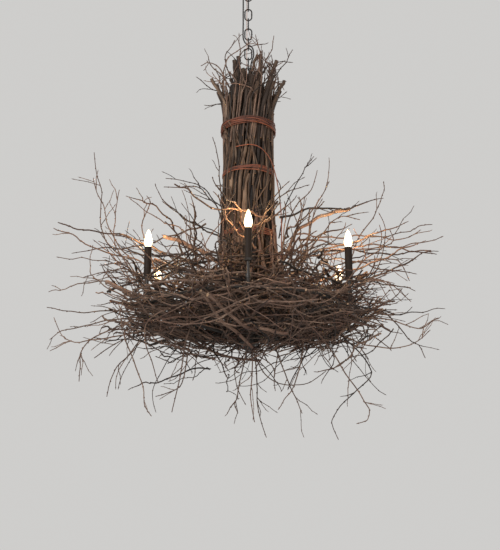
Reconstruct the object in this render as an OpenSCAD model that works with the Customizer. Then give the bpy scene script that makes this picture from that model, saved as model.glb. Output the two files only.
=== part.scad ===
// Six-light branch chandelier: a sheaf of sticks round a steel stem, over a nest of twigs
// on an iron frame, hung by a chain. Millimetres, +Z up. The origin is at the ceiling, on
// the chain's line; everything hangs below it.

/* [Canopy] */
// Outer diameter of the canopy
canopy_d = 130; // [110:1:160]
// Depth of the canopy below the ceiling
canopy_h = 30; // [26:1:40]
// Wall of the canopy
canopy_wall = 1.2; // [0.8:0.1:2]
// Length of the crossbar
bar_l = 104; // [98:1:108]
// Width of the crossbar
bar_w = 19; // [17:1:24]
// Thickness of the crossbar
bar_t = 2.5; // [2:0.1:3.5]
// Distance between the crossbar's slots, centre to centre
slot_pitch = 79.4; // [76:0.1:80]
// Length of a slot, end to end
slot_l = 14.3; // [12:0.1:15]
// Width of a slot
slot_w = 4.8; // [4.4:0.1:5.2]
// Diameter of the collar under the canopy
collar_d = 36; // [32:1:40]
// Thickness of the collar
collar_t = 5; // [4:0.5:7]

/* [Chain] */
// Number of links
link_n = 8; // [8:1:8]
// Outer length of a link
link_l = 47; // [44:0.5:52]
// Outer width of a link
link_w = 28; // [26:0.5:30]
// Thickness of a link's wire
link_wire = 4.5; // [4:0.1:4.8]
// Radius of a loop's ring, to the middle of its wire
ring_r = 14; // [13.5:0.1:15]
// Thickness of a loop's wire
ring_wire = 6; // [5:0.1:6.4]
// Diameter of the supply cord
cord_d = 5; // [4.6:0.1:5.2]
// Diameter of the bare earth wire
earth_d = 1.6; // [1.2:0.1:1.7]

/* [Frame] */
// Height of the stem's top above the candle bases
stem_top = 832; // [800:1:850]
// Outer diameter of the stem pipe
stem_d = 21.3; // [20:0.1:22]
// Bore of the stem pipe
stem_bore = 15.8; // [14:0.1:17]
// Outer diameter of the hub
hub_d = 64; // [60:1:70]
// Height of the hub
hub_h = 36; // [32:1:42]
// Wall of the hub
hub_wall = 8; // [6:0.5:10]
// Radius of the circle of candles
candle_ring = 350; // [340:1:360]
// Height of the arms' upright ends above the candle bases
arm_top = 30; // [26:1:36]
// Rise of the arms from the hub outwards, degrees
arm_slope = 8; // [5:0.5:10]
// Outer diameter of an arm
arm_d = 12.7; // [12:0.1:13.2]
// Bore of an arm
arm_bore = 9.7; // [8:0.1:10]
// Radius of an arm's bend, to its middle line
bend_r = 58; // [54:1:60]
// Thickness of the hoops' rod
hoop_d = 10; // [8:0.5:11]
// Radius of the inner hoop
inner_hoop_r = 165; // [150:1:180]

/* [Candles] */
// Height of the candle stem above its base
stem_rise = 74; // [70:1:80]
// Diameter of the candle stem
nipple_d = 10.3; // [10:0.1:10.6]
// Diameter of the cup under the candle
cup_d = 27.7; // [26:0.1:30]
// Thickness of the cup
cup_t = 6; // [5:0.5:8]
// Length of the candle sleeve
sleeve_l = 93; // [86:1:100]
// Outer diameter of the candle sleeve
sleeve_d = 22.4; // [22:0.1:24]
// Wall of the candle sleeve
sleeve_wall = 0.9; // [0.7:0.1:1.1]
// Outer diameter of the lamp socket
socket_d = 19.4; // [18:0.1:19.8]
// Diameter of the bulb's screw base
base_d = 11.9; // [11.5:0.1:12]
// Length of the bulb's screw base
base_l = 21.5; // [20:0.5:24]
// Largest diameter of the bulb
bulb_d = 25; // [22:0.5:26]
// Length of the bulb's glass
bulb_l = 61; // [55:1:66]
// Wall of the bulb's glass
bulb_wall = 0.8; // [0.6:0.1:1.1]

/* [Sticks] */
// Radius of the sticks in each ring of the sheaf, from the stem outwards
stick_r = [9, 9, 8.5, 7.5]; // [6:0.5:10]
// Height of the sheaf's waist above the candle bases
waist_h = 560; // [500:1:600]
// Lean of the sticks, as turn per millimetre of height
lean = 0.0015; // [0.0010:0.0001:0.0018]
// Height of the lowest top in the sheaf's second ring, above the candle bases
sheaf_top = 836; // [830:1:856]
// How far the tallest stick stands above the shortest
sheaf_rise = 60; // [20:1:64]
// Thickness of the ties
tie_d = 4.4; // [3.6:0.1:5]
// Turns of each tie
tie_turns = 3.5; // [2.5:0.5:4.5]
// Heights of the ties above the candle bases
tie_h = [640, 478, 265]; // [240:1:660]
// Number of twigs in the crown
crown_n = 24; // [12:1:26]
// Radius of the crown's twigs
crown_r = 2.6; // [2:0.1:3]

/* [Nest] */
// Thickest twig in the nest, radius
twig_r = 5; // [4:0.1:5.5]
// Tries at placing a twig of the base, each one three twigs
base_n = 70; // [20:1:80]
// Tries at placing a rising twig, each one three twigs
spray_n = 80; // [20:1:80]
// Tries at placing an outward twig, each one three twigs
rim_n = 40; // [12:1:60]
// Tries at placing a twig under the frame, each one three twigs
under_n = 60; // [20:1:80]
// Tries at placing a hanging twig, each one three twigs
hang_n = 40; // [20:1:60]

/* [Hidden] */
$fn = 48;

seat = 0.3;                 // what keeps two pieces that touch apart
fit = 0.1;                  // radial clearance of a threaded or pushed fit
lamps = 6;
symmetry = 3;               // the nest repeats three times round

// Heights on the chain's line, from the ceiling down
wire_way = 3.9;
thread_r = 4.8;
neck_r = 8;
neck_h = 12;
collar_z = -canopy_h - collar_t;
ring_out = ring_r + ring_wire / 2;
ring_in = ring_r - ring_wire / 2;
canopy_ring_z = collar_z - neck_h - ring_in;
link_in = link_l / 2 - link_wire;
link_pitch = 2 * link_in - seat;
first_link_z = canopy_ring_z - ring_in + seat - link_in;
function link_z(i) = first_link_z - (i - 1) * link_pitch;
fixture_ring_z = link_z(link_n) - link_in + seat - ring_in;
cap_h = 16;
cap_r = stem_d / 2 + 2.8;
stem_seat = 8;              // how far the stem stands in the loop's cap
fixture_neck = 6;
ring_z = fixture_ring_z - ring_in - fixture_neck - cap_h + stem_seat - stem_top;

// The frame, in heights above the candle bases
bend_in = candle_ring - bend_r;
bend_start = [bend_in + bend_r * sin(arm_slope), 0, arm_top - bend_r * cos(arm_slope)];
arm_start_r = hub_d / 2 - hub_wall + 1;
arm_run = (bend_start.x - arm_start_r) / cos(arm_slope);
function arm_height(r) = bend_start.z - (bend_start.x - r) * tan(arm_slope);
hub_z = arm_height(hub_d / 2);
hub_top = hub_z + hub_h / 2;
hub_bottom = hub_z - hub_h / 2;
cover_t = 2.5;
stem_bottom = hub_bottom - cover_t - 7;
hoop_off = bend_r - arm_d / 2 - hoop_d / 2 - seat;
hoop_tilt = 35;             // where the outer hoop meets the bends
outer_hoop_r = bend_in + hoop_off * cos(hoop_tilt);
outer_hoop_z = arm_top - hoop_off * sin(hoop_tilt);
inner_hoop_z = arm_height(inner_hoop_r) + (arm_d / 2 + hoop_d / 2 + seat) / cos(arm_slope);
lamp_turn = -90;            // the first candle stands at the front

// A candle, in heights above its base
cup_z = stem_rise;
sleeve_z = cup_z + cup_t;
sleeve_top = sleeve_z + sleeve_l;
socket_z = sleeve_z + 6;
socket_top = sleeve_top - 3;
bulb_z = socket_top + seat;
base_z = bulb_z - base_l;
contact_h = 1.7;
nut_h = 12;
nipple_wall = 1.6;
nut_r = 8.5;
bulb_lift = 40;

module at_frame() translate([0, 0, ring_z]) children();
module at_lamp(i) rotate(lamp_turn + i * 360 / lamps) translate([candle_ring, 0, ring_z]) children();
module at_lamps() for (i = [0:lamps - 1]) at_lamp(i) children();

module tube(r, bore, z1, z2) difference() {
    translate([0, 0, z1]) cylinder(r = r, h = z2 - z1);
    translate([0, 0, z1 - 1]) cylinder(r = bore, h = z2 - z1 + 2);
}

module hex_nut(af, bore, z1, z2) difference() {
    translate([0, 0, z1]) cylinder(d = af / cos(30), h = z2 - z1, $fn = 6);
    translate([0, 0, z1 - 1]) cylinder(r = bore, h = z2 - z1 + 2);
}

module torus(ring, wire) rotate_extrude() translate([ring, 0]) circle(d = wire, $fn = 32);

// ---- Ceiling pieces ----

module crossbar() color("silver") difference() {
    translate([-bar_l / 2, -bar_w / 2, -bar_t]) cube([bar_l, bar_w, bar_t]);
    translate([0, 0, -bar_t - 1]) cylinder(r = thread_r + fit, h = bar_t + 2);
    translate([screw_x, 0, -bar_t - 1]) cylinder(r = screw_r + fit, h = bar_t + 2);
    for (s = [-1, 1]) translate([s * slot_pitch / 2, 0, -bar_t - 1]) slot(bar_t + 2);
}
screw_x = 18;
screw_r = 2;

module slot(h) {
    for (s = [-1, 1]) translate([s * (slot_l - slot_w) / 2, 0, 0]) cylinder(d = slot_w, h = h);
    translate([-(slot_l - slot_w) / 2, -slot_w / 2, 0]) cube([slot_l - slot_w, slot_w, h]);
}

locknut_t = 3.5;
module crossbar_locknut() color("silver")
    hex_nut(14, thread_r + fit, -bar_t - locknut_t, -bar_t);

module ground_screw() color("seagreen") translate([screw_x, 0, 0]) {
    translate([0, 0, -bar_t - 3]) cylinder(r = 4, h = 3);
    translate([0, 0, -bar_t - 1]) cylinder(r = screw_r, h = bar_t + 1);
}

nipple_end = collar_z - 8;
module canopy_nipple() color("silver") tube(thread_r, wire_way, nipple_end, 0);

module canopy() color([0.06, 0.05, 0.05]) rotate_extrude() difference() {
    polygon(canopy_outline(canopy_d / 2, canopy_h));
    polygon(canopy_outline(canopy_d / 2 - canopy_wall, canopy_h - canopy_wall));
    translate([0, -canopy_h - 1]) square([thread_r + fit, canopy_h + 2]);
}
function canopy_outline(r, h) = [[0, 0.0], [r, 0.0], [r, -h * 0.35], [r - 4, -h * 0.5],
    [r - 14, -h * 0.62], [24, -h * 0.9], [20, -h], [0, -h]];

module canopy_collar() color([0.06, 0.05, 0.05]) difference() {
    translate([0, 0, collar_z]) cylinder(d1 = collar_d - 4, d2 = collar_d, h = collar_t);
    translate([0, 0, collar_z - 1]) cylinder(r = thread_r + fit, h = collar_t + 2);
}

module canopy_loop() color([0.07, 0.06, 0.06]) difference() {
    union() {
        translate([0, 0, canopy_ring_z]) rotate([0, 90, 0]) torus(ring_r, ring_wire);
        translate([0, 0, canopy_ring_z + ring_in]) cylinder(r = neck_r, h = neck_h);
    }
    translate([0, 0, canopy_ring_z + ring_in - 1]) cylinder(r = wire_way, h = neck_h + 2);
    translate([0, 0, nipple_end - seat]) cylinder(r = thread_r + fit, h = 20);
}

// ---- Chain ----

// One link: two half rings and two straight legs, standing in the XZ plane
module link() {
    bow = link_w / 2 - link_wire / 2;
    leg = link_l / 2 - link_w / 2;
    for (s = [-1, 1]) {
        translate([s * bow, 0, -leg]) cylinder(d = link_wire, h = 2 * leg, $fn = 32);
        translate([0, 0, s * leg]) rotate([90, s > 0 ? 0 : 180, 0])
            rotate_extrude(angle = 180) translate([bow, 0]) circle(d = link_wire, $fn = 32);
    }
}

module chain_link(i) color([0.07, 0.06, 0.06])
    translate([0, 0, link_z(i)]) rotate(i % 2 == 1 ? 0 : 90) link();

// A tube swept along a route: rings of points that stand square to the route, each turned
// by the same reference direction, which the route never follows.
function unit(v) = v / norm(v);
function curve_point(p, i, t) =
    let (a = p[max(i - 1, 0)], b = p[i], c = p[i + 1], d = p[min(i + 2, len(p) - 1)])
    0.5 * (2 * b + (c - a) * t + (2 * a - 5 * b + 4 * c - d) * t * t + (3 * b - a - 3 * c + d) * t * t * t);
function smooth(p, steps) = concat(
    [for (i = [0:len(p) - 2]) for (k = [0:steps - 1]) curve_point(p, i, k / steps)],
    [p[len(p) - 1]]);
function tube_points(route, radii, sides, ref) = let (n = len(route)) [for (i = [0:n - 1])
    let (ahead = unit(route[min(i + 1, n - 1)] - route[max(i - 1, 0)]),
        side = unit(cross(ahead, ref)), up = cross(ahead, side))
    for (k = [0:sides - 1])
        route[i] + radii[i] * (cos(k * 360 / sides) * side + sin(k * 360 / sides) * up)];
function tube_faces(n, sides, first) = concat(
    [for (i = [0:n - 2]) for (k = [0:sides - 1])
        let (a = first + i * sides + k, b = first + i * sides + (k + 1) % sides)
        each [[a, b, a + sides], [b, b + sides, a + sides]]],
    [for (k = [1:sides - 2]) [first, first + k + 1, first + k]],
    [for (k = [1:sides - 2]) let (o = first + (n - 1) * sides) [o, o + k, o + k + 1]]);
module sweep(route, r, sides, ref) polyhedron(
    tube_points(route, [for (p = route) r], sides, ref), tube_faces(len(route), sides, 0));

// Routes of the cord and the earth wire, by hand, in heights above the stem's top
cord_route = [[-1.2, 0, 361], [-2, 0, 355], [-8, 0, 349], [-14, 0, 340], [-17.4, 0, 328], [-17.6, -1, 308],
    [-17.4, -2, 278], [-17.6, -1, 248], [-17.4, 1, 213], [-17.8, 1, 178], [-17.4, 0, 155],
    [-13.6, 0, 141], [-7, 0, 132], [0, 0, 127], [8, -1, 122], [15, -2.5, 113], [18, -3, 97],
    [17.4, -4.4, 80], [12.5, -7, 64], [9.5, -9.5, 50], [7.5, -9.5, 38], [4, -7, 27], [1.6, -2, 19], [1.2, 0, 11]];
cord_end = -75;             // above the candle bases, inside the hub
stem_top_z = ring_z + stem_top;
earth_route = [[2.6, 0, 361], [2.6, -1.4, 355], [-1, -4.6, 348], [-5, -4.8, 338], [-5, -4.2, 298], [-4.8, -4.2, 258],
    [-5.2, -4, 228], [-5, -4.4, 188], [-4.8, -4.2, 158], [-5, -4, 118], [-5.2, -4.2, 88], [-5, -4.6, 58],
    [-5.2, -5.2, 44], [-5, -4.6, 32], [-4, -2.4, 23], [-2.6, 0, 14], [-2.6, 0, 6]];

module supply_cord() color([0.05, 0.04, 0.04]) sweep(concat(
    [[-1.2, 0, -0.5], [-1.2, 0, stem_top_z + 368]],
    [for (p = smooth(cord_route, 2)) p + [0, 0, stem_top_z]],
    [[1.2, 0, stem_top_z - 2], [1.2, 0, ring_z + cord_end]]), cord_d / 2, 8, [0, 1, 0]);

module earth_wire() color([0.55, 0.3, 0.15]) sweep(concat(
    [[2.6, 0, -0.5], [2.6, 0, stem_top_z + 368]],
    [for (p = smooth(earth_route, 2)) p + [0, 0, stem_top_z]],
    [[-2.6, 0, stem_top_z - 2], [-2.6, 0, ring_z + cord_end]]), earth_d / 2, 6, [0, 1, 0]);

// ---- Stem, hub and frame ----

module fixture_loop() color([0.07, 0.06, 0.06]) difference() {
    neck_z = fixture_ring_z - ring_in - fixture_neck;
    union() {
        translate([0, 0, fixture_ring_z]) rotate([90, 0, 0]) torus(ring_r, ring_wire);
        translate([0, 0, neck_z - 1]) cylinder(r = neck_r, h = fixture_neck + 1);
        translate([0, 0, neck_z - cap_h]) cylinder(r = cap_r, h = cap_h);
    }
    translate([0, 0, neck_z - cap_h]) cylinder(r = wire_way, h = 60);
    translate([0, 0, neck_z - cap_h - 1]) cylinder(d = stem_d + 2 * fit, h = stem_seat + 1);
}

module stem_pipe() color([0.1, 0.09, 0.09]) at_frame() difference() {
    tube(stem_d / 2, stem_bore / 2, stem_bottom, stem_top);
    translate([0, 0, hub_z]) rotate([90, 0, 90]) cylinder(d = 8, h = stem_d, center = true);
}

module stem_locknut() color("silver") at_frame()
    hex_nut(30, stem_d / 2 + fit, hub_top - hub_wall - 5, hub_top - hub_wall);

module hub() color([0.08, 0.07, 0.07]) at_frame() difference() {
    translate([0, 0, hub_bottom]) cylinder(d = hub_d, h = hub_h);
    translate([0, 0, hub_bottom - 1]) cylinder(d = hub_d - 2 * hub_wall, h = hub_h - hub_wall + 1);
    cylinder(d = stem_d + 2 * fit, h = 400, center = true);
    for (i = [0:lamps - 1]) rotate(lamp_turn + i * 360 / lamps) arm_straight(arm_d + 2 * fit, 4);
}

module hub_cover() color([0.08, 0.07, 0.07]) at_frame()
    tube(hub_d / 2, stem_d / 2 + fit, hub_bottom - cover_t, hub_bottom);

module finial() color([0.08, 0.07, 0.07]) at_frame() difference() {
    top = hub_bottom - cover_t;
    union() {
        translate([0, 0, top - 11]) cylinder(r = stem_d / 2 + 4, h = 11);
        translate([0, 0, top - 11]) intersection() {
            sphere(r = stem_d / 2 + 3);
            translate([0, 0, -10]) cylinder(r = 20, h = 11);
        }
    }
    translate([0, 0, stem_bottom - seat]) cylinder(d = stem_d + 2 * fit, h = 30);
}

// One arm: a straight tube out of the hub and a bend up to the candle
module arm(i) color([0.07, 0.06, 0.06]) at_arm(i) difference() {
    arm_line(arm_d, 0);
    arm_line(arm_bore, 3);
}
module at_arm(i) at_frame() rotate(lamp_turn + (i - 1) * 360 / lamps) children();
module at_bend() translate([bend_in, 0, arm_top]) rotate([0, -arm_slope, 0]) children();
module arm_straight(d, over) at_bend() translate([-arm_run - over, 0, -bend_r]) rotate([0, 90, 0])
    cylinder(d = d, h = arm_run + over);
module arm_line(d, over) {
    arm_straight(d, over);
    at_bend() rotate([90, 0, 0]) rotate([0, 0, -90])
        rotate_extrude(angle = 90 - arm_slope + over) translate([bend_r, 0]) circle(d = d);
}
// A point on an arm's bend, or to the outside of it
function bend_point(t, off) = let (a = span(arm_slope, 90, t))
    [bend_in + (bend_r + off) * sin(a), 0, arm_top - (bend_r + off) * cos(a)];

module outer_hoop() color([0.09, 0.08, 0.08]) at_frame()
    translate([0, 0, outer_hoop_z]) rotate_extrude($fn = 96) translate([outer_hoop_r, 0]) circle(d = hoop_d);

module inner_hoop() color([0.09, 0.08, 0.08]) at_frame()
    translate([0, 0, inner_hoop_z]) rotate_extrude($fn = 96) translate([inner_hoop_r, 0]) circle(d = hoop_d);

// ---- Candles ----

// The nuts are bored a little wide for the arms, which still curve inside them
nut_play = 0.45;
module arm_nuts() color([0.07, 0.06, 0.06]) at_lamps() difference() {
    translate([0, 0, arm_top - nut_h / 2]) cylinder(r = nut_r, h = nut_h);
    translate([0, 0, arm_top - nut_h]) cylinder(r = arm_d / 2 + nut_play, h = nut_h);
    translate([0, 0, arm_top]) cylinder(d = nipple_d + 2 * fit, h = nut_h);
}

// The wires to each lamp, laid along the outer side of the arm's bend
lead_r = 1.6;
lead_off = nipple_d / 2 - nipple_wall - lead_r - seat;
lead_start = hub_d / 2 - hub_wall - 3;
lead_route = concat([[lead_start, 0, arm_height(lead_start) - lead_off / cos(arm_slope)]],
    [for (k = [0:8]) bend_point(k / 8, lead_off)], [[candle_ring + lead_off, 0, socket_z + 8]]);
module lamp_leads() color([0.4, 0.36, 0.3]) for (i = [1:lamps]) at_arm(i) sweep(lead_route, lead_r, 6, [0, 1, 0]);

// Caps that join the cord's wires to the lamps' wires, inside the hub
cap_r1 = 5;
module splice_caps() color([0.75, 0.35, 0.1]) at_frame() for (s = [-1, 1])
    translate([s * (stem_d / 2 + seat + cap_r1 + 1), 0, hub_bottom + seat]) cylinder(r1 = cap_r1, r2 = 3.4, h = 15);

module candle_stems() color([0.07, 0.06, 0.06]) at_lamps()
    tube(nipple_d / 2, nipple_d / 2 - nipple_wall, arm_top, socket_z + 8);

module candle_cups() color([0.07, 0.06, 0.06]) at_lamps() difference() {
    translate([0, 0, cup_z]) cylinder(d1 = cup_d - 5, d2 = cup_d, h = cup_t);
    translate([0, 0, cup_z - 1]) cylinder(d = nipple_d + 2 * fit, h = cup_t + 2);
}

module lamp_sockets() color([0.12, 0.1, 0.09]) at_lamps() difference() {
    translate([0, 0, socket_z]) cylinder(d = socket_d, h = socket_top - socket_z);
    translate([0, 0, socket_z - 1]) cylinder(d = nipple_d + 2 * fit, h = 10);
    translate([0, 0, base_z - contact_h - seat]) cylinder(d = base_d + 2 * seat, h = base_l + 10);
}

module candle_sleeves() color([0.1, 0.07, 0.05]) at_lamps()
    tube(sleeve_d / 2, sleeve_d / 2 - sleeve_wall, sleeve_z, sleeve_top);

// Half width of the glass at a share of its height: a neck, a belly and a drawn-out tip
function flame(t) = bulb_d / 2 * (t < 0.35
    ? 0.44 + 0.56 * sin(90 * t / 0.35)
    : pow(cos(90 * (t - 0.35) / 0.65), 0.8) * (1 - 0.12 * sin(180 * (t - 0.35) / 0.65)));
flame_steps = 14;
module bulb_glass(i) color([1, 0.9, 0.7, 0.5]) at_lamp(i - 1) translate([0, 0, bulb_z])
    rotate_extrude() polygon(concat(
        [for (k = [0:flame_steps]) let (t = k / flame_steps) [max(flame(t), 0.01), t * bulb_l]],
        [[0, bulb_l], [0, bulb_l - 2.4]],
        [for (k = [flame_steps - 1:-1:0]) let (t = k / flame_steps)
            [max(flame(t) - bulb_wall, 0.4), t * (bulb_l - 2.4)]]));

module bulb_base(i) color([0.75, 0.6, 0.3]) at_lamp(i - 1) {
    translate([0, 0, base_z]) cylinder(d = base_d, h = base_l);
    translate([0, 0, base_z - contact_h]) cylinder(r = 2.5, h = contact_h);
}

// ---- Sheaf of sticks ----

// Sticks lean all the same way in one ring, so each ring keeps the shape of a waisted
// barrel, and the rings stay apart over the whole height.
ring_gap = 0.15;
function stick_ring(k) = k == 0
    ? stem_d / 2 + seat + stick_r[0]
    : stick_ring(k - 1) + stick_r[k - 1] + ring_gap + stick_r[k];
function stick_lean(a) = atan(lean * a);
function ring_count(a, r) = floor(180 / asin((r + seat / 2) / (a * cos(stick_lean(a)))));
function barrel(a, h) = a * sqrt(1 + pow(lean * (h - waist_h), 2));
sheaf_out = stick_ring(3) + stick_r[3];

// One ring's sticks: bottoms and tops at uneven heights
module sticks(k, low, high, uneven, hand) at_frame() {
    a = stick_ring(k);
    n = ring_count(a, stick_r[k]);
    ups = rands(0, 1, n, 11 + k);
    for (i = [0:n - 1]) rotate(i * 360 / n + 17 * k) {
        z1 = low + 18 * ups[(i + 3) % n];
        z2 = high + uneven * ups[i];
        translate([a, 0, waist_h]) rotate([hand * stick_lean(a), 0, 0])
            translate([0, 0, z1 - waist_h]) cylinder(r1 = stick_r[k], r2 = stick_r[k] * 0.94, h = z2 - z1, $fn = 32);
    }
}

// Feet of the four rings' sticks, and how far each ring's tops stand below those inside it
stick_feet = [-30, -10, 10, 16];
sheaf_dome = 55;
module sheaf_core() color([0.22, 0.15, 0.11]) sticks(0, stick_feet[0], stem_top - 20, 6, 1);
module sheaf_middle() color([0.24, 0.16, 0.12]) {
    sticks(1, stick_feet[1], sheaf_top, sheaf_rise, -1);
    sticks(2, stick_feet[2], sheaf_top - sheaf_dome, sheaf_rise, 1);
}
module sheaf_outer() color([0.25, 0.17, 0.13])
    sticks(3, stick_feet[3], sheaf_top - 2 * sheaf_dome, sheaf_rise, -1);

// Thin twigs under the top tie, which open out above the sheaf
crown_a = stick_ring(3) + stick_r[3] + ring_gap + crown_r;
crown_low = tie_h[0] - 50;
crown_bend_h = 780;
crown_open = [0.55, 0.1, 0];
function crown_point(h) = [crown_a, crown_a * lean * (h - waist_h), h];
function crown() = let (ups = rands(0, 1, crown_n, 5), foot = crown_point(crown_low),
        knee = crown_point(crown_bend_h), open = unit(unit(knee - foot) + crown_open))
    [for (i = [0:crown_n - 1])
        [[for (p = [foot, knee, knee + open * (60 + 130 * ups[i])]) turned(p, i * 360 / crown_n)],
            crown_r * [1, 0.9, 0.55]]];
module crown_twigs() color([0.26, 0.18, 0.14]) at_frame() twigs(crown(), 6);

// Many twigs as one solid of many pieces. A twig is [points, radii], and keeps to one side
// of a reference that it is far from following.
module twigs(list, sides) {
    counts = [for (t = list) len(t[0]) * sides];
    firsts = [for (i = 0, sum = 0; i < len(list); sum = sum + counts[i], i = i + 1) sum];
    points = [for (t = list) let (way = unit(t[0][len(t[0]) - 1] - t[0][0]))
        each tube_points(t[0], t[1], sides, abs(way.z) < 0.7 ? [0, 0, 1] : unit([way.y + 0.01, -way.x, 0]))];
    faces = [for (i = [0:len(list) - 1]) each tube_faces(len(list[i][0]), sides, firsts[i])];
    polyhedron(points, faces);
}

// ---- Ties: one unbroken tube each, wound round the sheaf ----

tie_step = tie_d + 0.7;     // how far a turn climbs
turn_rings = 24;
function tie_route(h, inner) = [for (k = [0:tie_turns * turn_rings])
    let (a = k * 360 / turn_rings, z = h + tie_step * (k / turn_rings - tie_turns / 2))
    concat((inner(z) + tie_d / 2 + ring_gap) / cos(180 / turn_rings) * [cos(a - 40), sin(a - 40)], z)];
function least(route) = min([for (i = [0:len(route) - 1]) for (j = [i + 18:1:len(route) - 1])
    norm(route[i] - route[j])]) - tie_d;

module tie(name, h, inner) {
    route = tie_route(h, inner);
    echo(str(name, " least gap to itself, mm: ", least(route)));
    color([0.42, 0.18, 0.1]) at_frame() sweep(route, tie_d / 2, 6, [0, 0, 1]);
}
over_sheaf = function (z) barrel(stick_ring(3), z) + stick_r[3];
over_crown = function (z) barrel(crown_a, z) + crown_r;
module tie_top() tie("tie_top", tie_h[0], over_crown);
module tie_middle() tie("tie_middle", tie_h[1], over_sheaf);
module tie_bottom() tie("tie_bottom", tie_h[2], over_sheaf);

// ---- Nest ----
// A twig is [points, radii]. It is let down, or pushed up, until it lies a seat's width from
// the frame or from a twig placed before it, so no two twigs meet and none hangs in the air.

function turned(p, a) = [p.x * cos(a) - p.y * sin(a), p.x * sin(a) + p.y * cos(a), p.z];
// Straight runs of a twig: [from, to, radius, radius, middle, reach]
function run(p, q, r, s) = [p, q, r, s, (p + q) / 2, norm(q - p) / 2 + max(r, s)];
// A run ends in a half ball and a twig is cut flat, so the end runs stop a little short
cut_back = 0.4;
function runs(points, radii) = let (n = len(points) - 1)
    [for (i = [0:n - 1]) let (ahead = unit(points[i + 1] - points[i]),
        back = i == 0 ? cut_back * radii[0] : 0, front = i == n - 1 ? cut_back * radii[n] : 0)
    run(points[i] + back * ahead, points[i + 1] - front * ahead, radii[i], radii[i + 1])];
function turned_runs(list, a) = [for (c = list) run(turned(c[0], a), turned(c[1], a), c[2], c[3])];
function share(x) = max(0, min(1, x));
// Gap between two runs, the first one moved
function run_gap(c, d, move) =
    let (p = c[0] + move, q = c[1] + move, u = q - p, v = d[1] - d[0], w = p - d[0],
        a = u * u, e = v * v, f = v * w, g = u * w, b = u * v, den = a * e - b * b,
        s = den > 0.001 ? share((b * f - g * e) / den) : 0,
        t = share((b * s + f) / e),
        s2 = share((b * t - g) / a))
    norm(p + u * s2 - d[0] - v * t) - c[2] - (c[3] - c[2]) * s2 - d[2] - (d[3] - d[2]) * t;
far = 40;
function clearance(list, others, move) = min(concat([far], [for (c = list) for (d = others)
    if (norm(c[4] + move - d[4]) - c[5] - d[5] < far) run_gap(c, d, move)]));
function beside(list, others) = [for (d = others)
    if (min([for (c = list) norm([c[4].x - d[4].x, c[4].y - d[4].y]) - c[5] - d[5]]) < 1) d];
// How far a twig travels before it lies on something, and its gap there
twig_gap = 0.06;
touch = 0.1;
function rest(list, others, way, travel, tries) =
    let (gap = clearance(list, others, travel * way))
    gap < twig_gap + touch || tries == 0 ? [travel, gap]
    : rest(list, others, way, travel + gap - twig_gap, tries - 1);

// The frame's own runs, a little thicker, because they cut the curves' corners
corner = 0.22;
function ring_runs(r, z, rod) = let (n = 72, q = r / (0.5 + 0.5 * cos(180 / n)) )
    [for (i = [0:n - 1]) run([q * cos(i * 5), q * sin(i * 5), z], [q * cos(i * 5 + 5), q * sin(i * 5 + 5), z], rod, rod)];
function arm_runs() = let (r = arm_d / 2 + corner) [for (i = [0:lamps - 1]) each turned_runs(concat(
    [run([hub_d / 2, 0, arm_height(hub_d / 2)], bend_start, r, r)],
    [for (k = [0:7]) run(bend_point(k / 8, 0), bend_point((k + 1) / 8, 0), r, r)],
    [run([candle_ring, 0, arm_top + nut_h], [candle_ring, 0, cup_z - 8], nipple_d / 2, nipple_d / 2)]),
    lamp_turn + i * 360 / lamps)];
function frame_runs() = concat(arm_runs(), ring_runs(outer_hoop_r, outer_hoop_z, hoop_d / 2 + corner),
    ring_runs(inner_hoop_r, inner_hoop_z, hoop_d / 2 + corner));
// Room that no twig may enter: the sheaf, the hub, and each candle with its bulb drawn out
function kept_clear() = concat(
    [run([0, 0, 20], [0, 0, 300], 114, 92), run([0, 0, 300], [0, 0, 700], 92, 92),
        run([0, 0, hub_bottom], [0, 0, hub_top], hub_d / 2 + 2, hub_d / 2 + 2)],
    [for (i = [0:lamps - 1]) let (a = lamp_turn + i * 360 / lamps) each turned_runs([
        run([candle_ring, 0, cup_z + 8], [candle_ring, 0, bulb_z + bulb_l + bulb_lift], 17, 17),
        run([candle_ring, 0, arm_top - 2], [candle_ring, 0, arm_top + 2], 11, 11)], a)]);

function heading(h, s) = [cos(h) * cos(s), sin(h) * cos(s), sin(s)];
// A bent twig through a point at a radius and bearing, aimed off the tangent and off level
function bent(radius, bearing, height, aim, slope, length, bend, r, thin) =
    let (knee = [radius * cos(bearing), radius * sin(bearing), height], h = bearing + 90 + aim)
    [[knee - length * 0.5 * heading(h - bend, slope - bend * 0.4), knee,
      knee + length * 0.5 * heading(h + bend, slope + bend * 0.4)], [r, r * (1 + thin) / 2, r * thin]];
function span(low, high, x) = low + (high - low) * x;

// Each kind of twig: ranges of [radius, aim, slope, length, thickness], the way it travels,
// the height it starts from, and the heights it keeps between
base_kind = [[120, 360], [-45, 45], [-9, 13], [240, 500], [0.6, 1], -1, 190, [-110, 125]];
spray_kind = [[190, 350], [-150, -25], [10, 50], [230, 400], [0.4, 0.75], -1, 330, [-100, 330]];
rim_kind = [[290, 410], [-130, -30], [-14, 34], [280, 520], [0.4, 0.8], -1, 280, [-120, 330]];
under_kind = [[50, 350], [-75, 75], [-9, 9], [260, 480], [0.4, 0.8], 1, -220, [-122, 60]];
hang_kind = [[150, 410], [-80, 80], [-62, -14], [170, 330], [0.35, 0.6], 1, -380, [-285, 40]];

function draft(kind, seed) = let (x = rands(0, 1, 8, seed), r = twig_r * span(kind[4][0], kind[4][1], x[4]))
    bent(span(kind[0][0], kind[0][1], x[0]), 360 / symmetry * x[1], kind[6],
        span(kind[1][0], kind[1][1], x[2]), span(kind[2][0], kind[2][1], x[3]),
        span(kind[3][0], kind[3][1], x[5]), span(-14, 14, x[6]), r, 0.62);
function drafts(kind, seed, n) = [for (i = [0:n - 1]) draft(kind, seed + i)];
all_round = [for (i = [0:symmetry - 1]) i * 360 / symmetry];

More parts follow.
